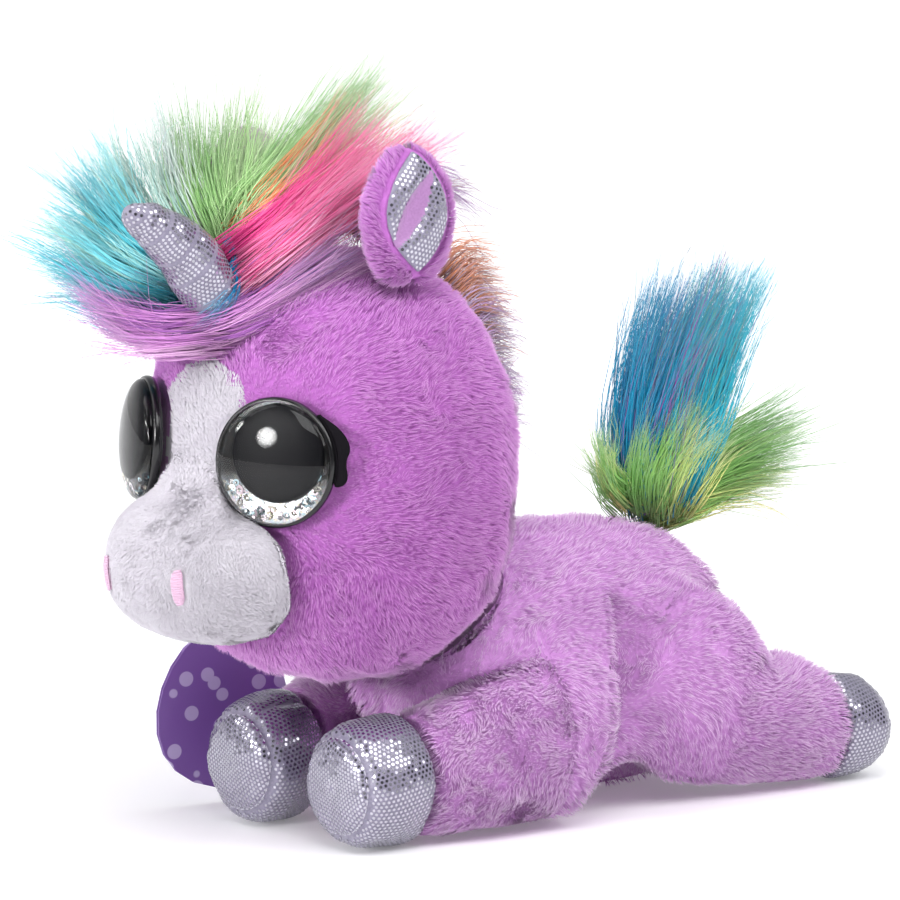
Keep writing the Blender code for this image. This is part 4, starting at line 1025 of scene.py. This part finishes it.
# --- ears ---------------------------------------------------------------------
LEAF_RISE = np.array([-2.0, 1.0, 4.0, 8.0, 12.0, 16.0, 20.0, 24.0, 28.0, 31.0, 33.0])
LEAF_HALF = np.array([0.0, 4.0, 7.0, 9.7, 11.5, 11.8, 10.9, 8.9, 6.0, 2.9, 0.0])
SLIT_LOW, SLIT_HIGH = np.array((-8.5, 6.0)), np.array((5.0, 26.0))


def slit_depth(y, z):
    """How deep the ear is pinched at a place (y, z) from its pivot, and how near to the pinch it is."""
    along = SLIT_HIGH - SLIT_LOW
    reach = ((y - SLIT_LOW[0]) * along[0] + (z - SLIT_LOW[1]) * along[1]) / (along @ along)
    near = np.clip(reach, 0, 1)
    off = np.hypot(y - SLIT_LOW[0] - near * along[0], z - SLIT_LOW[1] - near * along[1])
    wide = 1.0 + 2.3 * np.sin(near * math.pi)
    share = np.exp(-(off / wide) ** 2 * 0.8)
    return share * (0.8 + 3.4 * np.sin(near * math.pi)), share


def dress_ear(side, tag):
    name = "ear_" + tag
    pivot = EAR_PIVOT * (side, 1, 1)
    points, faces = wrapped([name], 1.0, 10, 1.4)
    local = points - pivot
    depth, _ = slit_depth(local[:, 1], local[:, 2])
    points[:, 0] -= side * depth * smooth_step(local[:, 0] * side, 0.0, 3.0)
    belongs(make_piece(name + "_plush", points, faces, LILAC_CLOTH), name, name, fill=0.8)
    solid = bvh(points, faces)

    def lining_at(y, z):
        """Where the lining lies at a place on its leaf, from the pivot."""
        x = np.empty(len(y))
        for k in range(len(y)):
            hit = solid.ray_cast(Vector((pivot[0] + side * 30, pivot[1] + y[k], pivot[2] + z[k])),
                                 Vector((-side, 0, 0)), 60)
            x[k] = hit[0][0] if hit[0] is not None else pivot[0] + side * 2.0
        return np.stack([x, pivot[1] + y, pivot[2] + z], 1)
    rings, wide = 60, 37
    rise = np.linspace(-2.0, 33.0, rings)
    half = np.interp(rise, LEAF_RISE, LEAF_HALF) + 0.05
    across = np.linspace(-1, 1, wide)
    y, z = (half[:, None] * across).ravel(), np.repeat(rise, wide)
    grid = lining_at(y, z)
    edge = np.abs(np.tile(across, rings))
    grid[:, 0] += side * (0.9 - 0.5 * smooth_step(edge, 0.85, 1.0))
    cells = np.array([(i * wide + j, i * wide + j + 1, (i + 1) * wide + j + 1, (i + 1) * wide + j)
                      for i in range(rings - 1) for j in range(wide - 1)])
    if side < 0:
        cells = cells[:, ::-1]
    grid = relax(grid, cells, 2, 0.4)
    item = make_piece(name + "_lining", grid, cells, FOIL_CLOTH)
    # The lining deep in the pinch gets the dark fold cloth: painted shade in the fold.
    item.data.materials.append(FOLD_SHADE_CLOTH)
    _, share = slit_depth(grid[:, 1] - pivot[1], grid[:, 2] - pivot[2])
    item.data.polygons.foreach_set("material_index", (share[cells].mean(1) > 0.42).astype(np.int32))
    belongs(item, name, "ear_lining_" + tag, slot="foil_cloth")
    lining = bvh(grid, cells)
    spots = staggered(13, 20, DOT_PITCH) @ np.array([[0.71, 0.71], [-0.71, 0.71]]) + (0, 15.5)
    inside = np.abs(spots[:, 0]) < np.interp(spots[:, 1], LEAF_RISE, LEAF_HALF) - 0.5
    inside &= slit_depth(spots[:, 0], spots[:, 1])[1] < 0.45
    places, facing = [], []
    for dy, dz in spots[inside]:
        start = Vector((pivot[0] + side * 30, pivot[1] + dy, pivot[2] + dz))
        hit = lining.ray_cast(start, Vector((-side, 0, 0)), 60)
        if hit[0] is not None:
            places.append(np.array(hit[0]))
            facing.append(np.array(hit[1]) * (1 if hit[1][0] * side > 0 else -1))
    dots(name + "_dots", np.array(places), np.array(facing), DOT_RADIUS, FOIL_DOT, name, tilt=0.03, seed=95)

    def flow(roots, normals):
        leaf = np.array((0.0, 1.0, 0.35)) * np.sign(roots[:, 1:2] - pivot[1] + 0.01)
        return leaf * 0.7 + np.array((-0.1 * side, 0.0, 0.8))

    def trim(roots, normals):
        offset = roots - pivot
        on_leaf = np.abs(offset[:, 1]) < np.interp(offset[:, 2], LEAF_RISE, LEAF_HALF) + 0.8
        return np.where(on_leaf & (normals[:, 0] * side > 0.1), 0.0, 1.0)

    pile(name + "_pile", (points, faces), 14000, 3.4, HAIR_WIDTH, flow, LILAC_PILE, name, 400 + side,
         trim=trim)


# --- muzzle, blaze and nostrils -----------------------------------------------
NOSTRIL_AT = (16.0, 84.5)           # sideways and up


def dress_face():
    """The pale muzzle runs up into the blaze without a step, with a sewing crease on either side."""
    points, faces = wrapped(["muzzle_skin", "muzzle_stuffing", "blaze_patch"], 1.3, 26, 0.4, close=5.5)
    cheek = smooth_step(np.abs(points[:, 0]), 14.0, 30.0) * smooth_step(points[:, 1], -122.0, -104.0)
    cheek = cheek * smooth_step(points[:, 2], 112.0, 100.0) * smooth_step(points[:, 2], 62.0, 82.0)
    points = points - unit(points - HEAD) * (5.0 * smooth_step(points[:, 2], 112.0, 124.0))[:, None]
    points = points + unit(points - MUZZLE) * (4.2 * cheek)[:, None]
    for side, _ in SIDES:
        low, high = np.array((side * 14.0, -124.0, 100.0)), np.array((side * 24.0, -117.0, 104.5))
        along = high - low
        reach = np.clip(((points - low) @ along) / (along @ along), 0, 1)[:, None]
        off = np.linalg.norm(points - low - along * reach, axis=1)
        points = points - unit(points - MUZZLE) * (1.5 * np.exp(-(off / 1.5) ** 2))[:, None]
    points = relax(points, faces, 5)
    bridge = smooth_step(points[:, 2], 90.0, 97.0) * (1 - smooth_step(np.abs(points[:, 0]), 9.0, 17.0))
    points = mix(points, relax(points, faces, 12), bridge[:, None])
    used, faces = np.unique(faces[points[faces][..., 2].max(1) < 124.0], return_inverse=True)
    points, faces = points[used], faces.reshape(-1, 4)
    cloth = make_piece("muzzle_plush", points, faces, PALE_CLOTH)
    belongs(cloth, "head", "muzzle_skin", "muzzle_stuffing", "blaze_patch", fill=0.8)

    def flow(places, normals):
        return unit(places - (0.0, -115.0, 112.0)) + np.array((0, 0, 0.35)) * np.sign(places[:, 2:] - 108)

    def trim(places, normals):
        near, _ = eye_distance(places)
        buried = (((places - HEAD) / (56.0, 49.5, 62.5)) ** 2).sum(1) < 0.86
        across, rise = np.abs(places[:, 0]) - NOSTRIL_AT[0], places[:, 2] - NOSTRIL_AT[1]
        stitched = (across / 2.9) ** 2 + (rise / 5.8) ** 2 < 1
        return np.where((near < EYE_RADIUS + 0.3) | buried | (stitched & (places[:, 1] < -110)), 0.0, 1.0)

    for part in range(4):
        pile(f"muzzle_pile_{part}", (points, faces), 15000, 1.5, 0.12, flow, PALE_PILE, "head", 500 + part,
             lean=0.9, swirl=0.4, clump=2.5, gather=0.2, trim=trim)
    outer = bvh(points, faces)
    for side, tag in SIDES:
        stitch_nostril(side, tag, outer)


def stitch_nostril(side, tag, outer):
    """A satin-stitched bar: threads lie side by side, each a tube that arches over the muzzle's skin."""
    threads, steps, sides = 15, 9, 6
    points, faces = [], []
    for k in range(threads):
        v = (k + 0.5) / threads * 2 - 1
        z = NOSTRIL_AT[1] + 4.9 * v
        wide = 1.75 * math.sqrt(1 - v**4 * 0.85)
        faces += face_set(steps, sides, len(points))
        for u in np.linspace(-1, 1, steps):
            start = Vector((side * NOSTRIL_AT[0] + u * wide, -200, z + 0.25 * u))
            place = np.array(outer.ray_cast(start, Vector((0, 1, 0)), 200)[0])
            out = unit(place - MUZZLE)
            crown = math.sqrt(max(1 - u * u, 0.0))
            for j in range(sides):
                turn = 2 * math.pi * j / sides
                lift = 0.8 + 0.75 * crown + 0.35 * math.sin(turn)
                points.append(place + out * lift + UP * 0.44 * math.cos(turn))
    item = make_piece("nostril_stitching_" + tag, *outward(np.array(points), np.array(faces)), PINK_THREAD)
    belongs(item, "head", "nostril_" + tag, slot="nostril_thread")


# --- eyes ---------------------------------------------------------------------
# The lash's outline: how far out from the eye's middle, and at how many degrees about it.
LASH = [(18.8, 52.0), (20.4, 40.0), (22.8, 26.0), (24.0, 13.0), (21.4, 3.0), (22.8, -8.0), (22.0, -15.0),
        (19.2, -19.0), (18.6, -4.0), (18.5, 14.0), (18.5, 34.0)]


def dress_eye(side, tag):
    """A black cup, a glitter disc in it, a domed pupil and a clear dome over all, with sequins and a lash."""
    axes = eye_frame(side)
    rim = [(0.0, 0.2), (17.6, 0.2), (18.5, 0.5), (18.9, 1.2), (18.9, 2.3), (18.6, 3.0), (18.0, 3.35),
           (17.5, 3.2), (17.3, 2.7), (17.2, 2.2), (0.0, 2.2)]
    disc = [(17.25, 2.25), (17.1, 2.5), (15.0, 2.52), (12.0, 2.52), (0.0, 2.52)]
    pupil = [(13.8, 2.6), (14.0, 3.0), (13.8, 3.4)]
    pupil += [(13.8 * math.cos(a), 3.4 + 2.6 * math.sin(a)) for a in np.linspace(0.08, math.pi / 2, 16)]
    dome = [(0.0, 2.4), (17.25, 2.4), (17.4, 2.9), (17.9, 3.5)]
    dome += [(17.9 * math.cos(a), 3.6 + 5.1 * math.sin(a)) for a in np.linspace(0.03, math.pi / 2, 22)]
    turned = (("eye_back_cup", "eye_back", rim, BLACK_GLOSS, "black_plastic", (0.0, 0.0)),
              ("eye_glitter_disc", "eye_glitter", disc, GLITTER, "glitter_disc", (0.0, 0.0)),
              ("eye_pupil_dome", "eye_pupil", pupil, PUPIL, "black_plastic", (side * 1.5, 2.8)),
              ("eye_dome", "eye_lens", dome, CLEAR, "clear_dome", (0.0, 0.0)))
    for name, node, profile, material, slot, shift in turned:
        item = lathe(f"{name}_{tag}", profile, axes, material, shift)
        item.visible_shadow = material != CLEAR
        belongs(item, "head", f"{node}_{tag}", slot=slot)
    add_sequins(side, tag, *axes)
    add_lash(side, tag, *axes)


def add_sequins(side, tag, middle, out, across, up):
    """Small foil rings in the lower part of the glitter disc, each tipped a little its own way."""
    draw = np.random.default_rng(600)
    circle = np.arange(12) / 12 * 2 * math.pi
    points, faces, uv = [], [], []
    for _ in range(75):
        angle = math.radians(270 + draw.uniform(-78, 78) + side * 14)
        reach = 16.0 - draw.uniform(0.0, 5.0) * draw.uniform(0.3, 1.0)
        size = draw.choice((0.75, 1.0, 1.35))
        centre = middle + out * (2.58 + draw.uniform(0, 0.22)) + across * reach * math.cos(angle)
        centre = centre + up * reach * math.sin(angle)
        tip = unit(out + draw.normal(size=3) * 0.2)
        first = unit(np.cross(tip, up))
        second = np.cross(tip, first)
        faces += face_set(2, len(circle), len(points))
        for radius in (size * 0.42, size):
            points += [centre + (first * math.cos(t) + second * math.sin(t)) * radius for t in circle]
        shade = draw.uniform(0.02, 0.98)
        uv += [(shade, 0.1), (shade, 0.9), (shade + 0.01, 0.9), (shade + 0.01, 0.1)] * len(circle)
    belongs(make_piece("eye_sequins_" + tag, np.array(points), np.array(faces), SEQUIN, uv), "head")


def add_lash(side, tag, middle, out, across, up):
    """A felt lash along the eye's outer edge: an outline with its corners cut three times, in six layers."""
    outline = [middle + across * (side * r * math.cos(math.radians(a))) + up * r * math.sin(math.radians(a))
               for r, a in LASH]
    for _ in range(3):
        following = outline[1:] + outline[:1]
        outline = [p for a, b in zip(outline, following) for p in (mix(a, b, 0.25), mix(a, b, 0.75))]
    outline = np.array(outline)
    spine = middle + unit(outline - middle) * 19.6
    steps = ((0.05, 0.6), (0.96, 0.6), (1.0, 1.0), (0.98, 1.6), (0.9, 1.9), (0.05, 2.0))
    layers = [mix(spine, outline, share) + out * height for share, height in steps]
    faces = np.array(face_set(len(layers), len(outline)))
    felt = make_piece("eyelash_felt_" + tag, *outward(np.concatenate(layers), faces), FELT)
    belongs(felt, "head", "eyelash_" + tag, slot="black_felt")


# --- hair ---------------------------------------------------------------------
HAIR_LOW, HAIR_HIGH = np.array((-73.5, -149.0, 1.0)), np.array((72.0, 145.0, 236.0))     # hair stays inside


def curve_at(spine, t):
    """Points on smooth curves through rows of control points (count, knots, 3) at shares t (count, steps)."""
    knots = spine.shape[1]
    x = np.clip(t, 0, 1.25) * (knots - 1)
    i = np.minimum(x.astype(int), knots - 2)
    f = (x - i)[..., None]
    row = np.arange(len(spine))[:, None]
    p0, p1 = spine[row, np.maximum(i - 1, 0)], spine[row, i]
    p2, p3 = spine[row, i + 1], spine[row, np.minimum(i + 2, knots - 1)]
    m1, m2 = (p2 - p0) / 2, (p3 - p1) / 2
    return ((2 * f**3 - 3 * f**2 + 1) * p1 + (f**3 - 2 * f**2 + f) * m1
            + (-2 * f**3 + 3 * f**2) * p2 + (f**3 - f**2) * m2)


def fan(name, first, second, count, material, body, seed, root=4.0, spread=5.0, group=14, length=(0.5, 1.15),
        wild=0.1):
    """Long hair between two edge spines: strands gather into locks, and a few fly loose."""
    width, steps, hold, curl = 0.17, 7, 0.6, 4.2
    draw = np.random.default_rng(seed)
    count = int(count * HAIR_SHARE)
    locks = max(count // group, 1)
    lock = draw.integers(0, locks, count)
    first, second = np.array(first, float), np.array(second, float)
    place = draw.uniform(0, 1, locks)[lock] + draw.normal(size=count) * 0.05
    spine = mix(first[None], second[None], np.clip(place, -0.1, 1.1)[:, None, None])
    ends = draw.uniform(*length, locks)[lock] * draw.uniform(0.8, 1.04, count)
    loose = draw.uniform(size=count) < wild
    ends = np.where(loose, ends * 1.12, ends)
    lock_offset = draw.normal(size=(locks, 3))[lock] * 0.62
    own_offset = draw.normal(size=(count, 3)) * 0.55
    bend = draw.normal(size=(locks, 3))[lock] * curl
    bend = bend + draw.normal(size=(count, 3)) * curl * np.where(loose, 1.6, 0.4)[:, None]
    ripple = draw.normal(size=(locks, 3))[lock] * 1.1
    phase = draw.uniform(0, 6, locks)[lock][:, None]
    for _ in range(2):
        t = np.linspace(0, 1, steps)[None] * ends[:, None]
        gather = (hold * smooth_step(t, 0.0, 0.9))[..., None] * np.where(loose, 0.2, 1.0)[:, None, None]
        offset = own_offset[:, None] * (1 - gather) * mix(root * 0.6, spread * 0.7, t)[..., None]
        offset = offset + lock_offset[:, None] * mix(root, spread, t)[..., None]
        path = curve_at(spine, t) + offset + bend[:, None] * (t[..., None] ** 2)
        path = path + ripple[:, None] * np.sin(t * 7 + phase)[..., None] * t[..., None]
        inside = ((path > HAIR_LOW) & (path < HAIR_HIGH)).all(-1)
        ends = ends * np.cumprod(inside, axis=1).mean(1)
    keep = ends > 0.15
    path, place, lock, spine, count = path[keep], place[keep], lock[keep], spine[keep], int(keep.sum())
    along = unit(np.gradient(path, axis=1))
    side = unit(np.cross(along, np.array((0.33, -0.21, 0.92))))
    other = np.cross(along, side)
    taper = width * (1 - 0.86 * np.linspace(0, 1, steps) ** 1.6) * draw.uniform(0.75, 1.25, count)[:, None]
    taper = taper[..., None] * HAIR_WIDEN
    away = unit(path - mix(spine[:, :1], spine.mean(1)[:, None], 0.5) + 1e-3)
    outs = [side * math.cos(a) + other * math.sin(a) for a in (0.0, 2.094, 4.189)]
    points = np.stack([path + out * taper for out in outs], 2)
    lit = np.stack([unit(out * 0.8 + away * 0.55) for out in outs], 2)
    base = (np.arange(count) * steps * 3)[:, None, None]
    cells = [(k * 3 + j, k * 3 + (j + 1) % 3, (k + 1) * 3 + (j + 1) % 3, (k + 1) * 3 + j)
             for k in range(steps - 1) for j in range(3)]
    faces = (base + np.array(cells)[None]).reshape(-1, 4)
    tone = place * 0.7 + 0.15 + 0.15 * draw.normal(size=locks)[lock]
    tone = np.clip(tone + 0.05 * draw.normal(size=count), 0.02, 0.98)
    low = np.linspace(0, 1, steps)
    uv = np.array([[(0.0, low[k]), (0.004, low[k]), (0.004, low[k + 1]), (0.0, low[k + 1])]
                   for k in range(steps - 1) for _ in range(3)])
    uv = np.broadcast_to(uv[None], (count, *uv.shape)).copy()
    uv[..., 0] += tone[:, None, None]
    item = make_piece(name, points.reshape(-1, 3), faces, material, uv.reshape(-1, 2), lit.reshape(-1, 3))
    return belongs(item, body)


# --- mane and tail ------------------------------------------------------------
HAIR = {
    "teal": [(0.0, (0.02, 0.38, 0.50)), (0.35, (0.10, 0.60, 0.70)), (0.7, (0.34, 0.76, 0.80)),
             (1.0, (0.55, 0.82, 0.62))],
    "frost": [(0.0, (0.35, 0.62, 0.60)), (0.5, (0.62, 0.76, 0.66)), (1.0, (0.78, 0.82, 0.86))],
    "green": [(0.0, (0.20, 0.44, 0.13)), (0.5, (0.38, 0.62, 0.26)), (1.0, (0.64, 0.78, 0.48))],
    "orange": [(0.0, (0.72, 0.20, 0.07)), (0.5, (0.86, 0.36, 0.20)), (1.0, (0.88, 0.55, 0.42))],
    "pink": [(0.0, (0.72, 0.02, 0.24)), (0.4, (0.90, 0.08, 0.32)), (0.75, (0.93, 0.22, 0.46)),
             (1.0, (0.88, 0.42, 0.62))],
    "lilac": [(0.0, (0.16, 0.10, 0.42)), (0.25, (0.42, 0.14, 0.50)), (0.7, (0.66, 0.28, 0.66)),
              (1.0, (0.80, 0.46, 0.76))],
    "blue": [(0.0, (0.0, 0.16, 0.42)), (0.5, (0.0, 0.30, 0.60)), (1.0, (0.06, 0.48, 0.74))],
    "nape": [(0.0, (0.84, 0.34, 0.16)), (0.35, (0.62, 0.30, 0.22)), (0.5, (0.50, 0.42, 0.56)),
             (1.0, (0.46, 0.20, 0.52))],
    "tail": [(0.0, (0.0, 0.15, 0.36)), (0.28, (0.0, 0.30, 0.50)), (0.40, (0.02, 0.30, 0.50)),
             (0.47, (0.34, 0.06, 0.38)), (0.55, (0.16, 0.42, 0.24)), (0.62, (0.0, 0.38, 0.54)),
             (1.0, (0.04, 0.52, 0.64))],
    "meadow": [(0.0, (0.14, 0.40, 0.08)), (0.5, (0.30, 0.58, 0.16)), (0.8, (0.58, 0.70, 0.24)),
               (1.0, (0.90, 0.84, 0.30))],
}
# Each fan of hair: its piece, its colours, its strands, its own settings, and the spines of its two edges.
FANS = [
    ("forelock_cyan", "teal", 1500, dict(),
     [(-16, -104, 160), (-29.5, -111, 161), (-44, -118, 164.5), (-58, -125.5, 167.5)],
     [(-22, -101, 166), (-38, -106, 175), (-53, -109.5, 185), (-66.5, -111.5, 191.5)]),
    ("forelock_teal", "teal", 1000, dict(spread=4.0),
     [(-22, -100, 166), (-42.5, -104.5, 178.5), (-56.5, -106.5, 187.5), (-67, -108.5, 194)],
     [(-20, -94, 173), (-38, -97, 186), (-48, -97, 197), (-57, -96, 208)]),
    ("forelock_aqua", "frost", 420, dict(spread=5.0, group=7, wild=0.2),
     [(-18, -94, 172), (-36, -94, 189), (-47, -93.5, 203.5), (-55, -92, 215)],
     [(-16, -86, 178), (-29, -85, 192), (-38, -82, 206.5), (-45, -81, 219)]),
    ("forelock_leaf", "green", 1600, dict(spread=4.5, group=9, wild=0.1),
     [(-14, -88, 177), (-27, -87, 189), (-36, -84.5, 201), (-44, -81, 216)],
     [(-8, -81, 180), (-14, -75, 191), (-19, -66, 203), (-22, -58, 217)]),
    ("forelock_green", "green", 2400, dict(spread=4.0, wild=0.06),
     [(-14, -86, 178), (-17, -78, 190), (-13, -63, 204.5), (-10, -42, 226)],
     [(-5, -80, 180), (-5, -71, 190), (-2, -54, 204), (3, -31, 223)]),
    ("forelock_orange", "orange", 1100, dict(spread=3.4),
     [(-6, -84, 178), (-5, -74, 187), (-4, -64, 196), (-2, -49, 211)],
     [(3, -84, 179), (4, -73, 185), (5, -61, 193), (7, -45, 206)]),
    ("forelock_pink", "pink", 2300, dict(spread=4.0, wild=0.06),
     [(-2, -93, 174), (2, -80, 184), (5, -66, 195), (9, -45.5, 210)],
     [(8, -95, 168), (13, -82, 178), (17, -64, 190), (24, -36, 209)]),
    ("forelock_lilac", "lilac", 1500, dict(spread=2.6, root=3.0),
     [(3, -103, 158.5), (-9, -111, 157), (-23.5, -116, 158.5), (-39, -119.5, 165)],
     [(7, -104, 153), (-5.5, -113, 151.5), (-19, -117, 152.5), (-33, -118, 157)]),
    ("forelock_heather", "lilac", 2000, dict(spread=2.8, root=3.0),
     [(-6, -109, 158), (5, -99, 161.5), (12, -84, 171), (16, -62, 182)],
     [(-2, -110, 152), (10, -100, 156), (18, -84, 165), (24, -62, 175)]),
    ("forelock_blue", "blue", 260, dict(spread=0.6, root=0.8, wild=0.0, length=(0.85, 1.0)),
     [(-3, -94, 181), (4, -97, 175), (6, -103, 166.5), (-1, -109, 159)],
     [(-1, -94, 180), (6, -96, 173), (8, -103, 165), (2, -109, 157)]),
    ("crown_tuft", "nape", 900, dict(spread=3.5),
     [(-4, -46, 182), (-5, -40, 194), (-5, -30, 200), (-5, -18, 200)],
     [(3, -34, 182), (4, -25, 190), (4, -12, 190), (3, 2, 184)]),
    ("nape_tuft", "nape", 1300, dict(spread=2.4, root=4.0, group=9, length=(0.6, 1.0)),
     [(0, -16, 166), (0, -6, 172), (1, 4, 171), (1, 13, 166)],
     [(0, 2, 116), (0, 9, 118), (0, 16, 117), (0, 22, 113)]),
    ("tail_hair_blue", "tail", 5200, dict(spread=5.5, root=4.0, wild=0.06),
     [(-2, 68, 88), (-4, 64.5, 105), (-4, 69, 128), (-3, 79, 154)],
     [(3, 82, 88), (3, 94, 107), (1, 105, 129), (1, 121, 157)]),
    ("tail_hair_green", "meadow", 2600, dict(spread=4.0, root=4.0, wild=0.08),
     [(-2, 72, 88), (1.5, 90, 97), (6, 109, 106), (11, 128, 113)],
     [(0, 78, 82), (1.5, 91, 84), (2.5, 104, 85), (5, 120, 85)]),
    ("tail_ruff", "meadow", 1800, dict(spread=3.4, root=3.5, wild=0.05),
     [(2, 66, 87), (3, 63, 95), (3, 66, 106), (3, 74, 118)],
     [(4, 82, 86), (6, 88, 94), (7, 96, 102), (8, 106, 110)]),
    ("tail_hair_lime", "meadow", 600, dict(spread=2.4, root=3.0),
     [(0, 64, 87), (-1, 57.5, 92), (-2, 53, 98.5), (-3, 49.5, 106)],
     [(0, 68, 88), (-1, 60, 95), (-1, 57, 101), (0, 55, 109)]),
]


def dress_hair():
    # The tail's tips get less of the painted pale glow.
    materials = {key: hair_material("hair_" + key, stops, 0.1 if key == "tail" else 0.28)
                 for key, stops in HAIR.items()}
    for number, (name, tone, count, more, first, second) in enumerate(FANS):
        body = "tail" if name.startswith("tail") else "head"
        item = fan(name + "_hair", first, second, count, materials[tone], body, 700 + number, **more)
        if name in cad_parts:
            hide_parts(name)
    root = make_piece("tail_root_plush", *wrapped(["tail_root"], 1.2, 5, 1.5), TAIL_CLOTH)
    belongs(root, "tail", "tail_root", fill=0.8, slot="tail_root")


# --- hang tag, neck and washers -----------------------------------------------
def recoloured(node, material):
    """A CAD piece that is shown as it is, in a better material."""
    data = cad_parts[node].data
    data.materials.clear()
    data.materials.append(material)


def tag_material():
    """A purple print of pale bubbles under a thin gloss."""
    made, tree, shader = new_material("tag_print", Roughness=0.35, Coat_Weight=0.3, Coat_Roughness=0.2)
    print_map = {"Vector": own_place(tree), "Scale": 130.0, "Randomness": 0.85}
    cells = add_node(tree, "ShaderNodeTexVoronoi", print_map)
    bubble = add_node(tree, "ShaderNodeMapRange", {"Value": cells.outputs["Distance"], "From Min": 0.30,
                                                   "From Max": 0.33, "To Min": 1.0, "To Max": 0.0})
    tone = colour_ramp(tree, bubble.outputs["Result"], [(0.0, (0.20, 0.09, 0.36)), (1.0, (0.50, 0.40, 0.66))])
    tree.links.new(tone, shader.inputs["Base Color"])
    return made


def dress_small_pieces():
    wad = make_piece("neck_wad", *wrapped(["neck_stuffing"], 1.5, 4, 0.5), FILLING)
    belongs(wad, "neck", "neck_stuffing", fill=0.9, slot="fibrefill")
    recoloured("tag_card", tag_material())
    clear = plain_material("clear_plastic", (0.92, 0.92, 0.95), Roughness=0.15, Transmission_Weight=0.7,
                           IOR=1.4)
    recoloured("tag_loop", clear)
    plastic = plain_material("washer_plastic", (0.75, 0.75, 0.76), Roughness=0.5)
    for _, tag in SIDES:
        recoloured("eye_washer_" + tag, plastic)


dress_head()
dress_face()
dress_trunk()
for side, tag in SIDES:
    dress_eye(side, tag)
    dress_ear(side, tag)
    for kind, way in (("foreleg", -1), ("hindleg", 1)):
        dress_leg(kind, side, tag, way)
        dress_hoof(kind, side, tag, way)
dress_horn()
dress_hair()
dress_small_pieces()
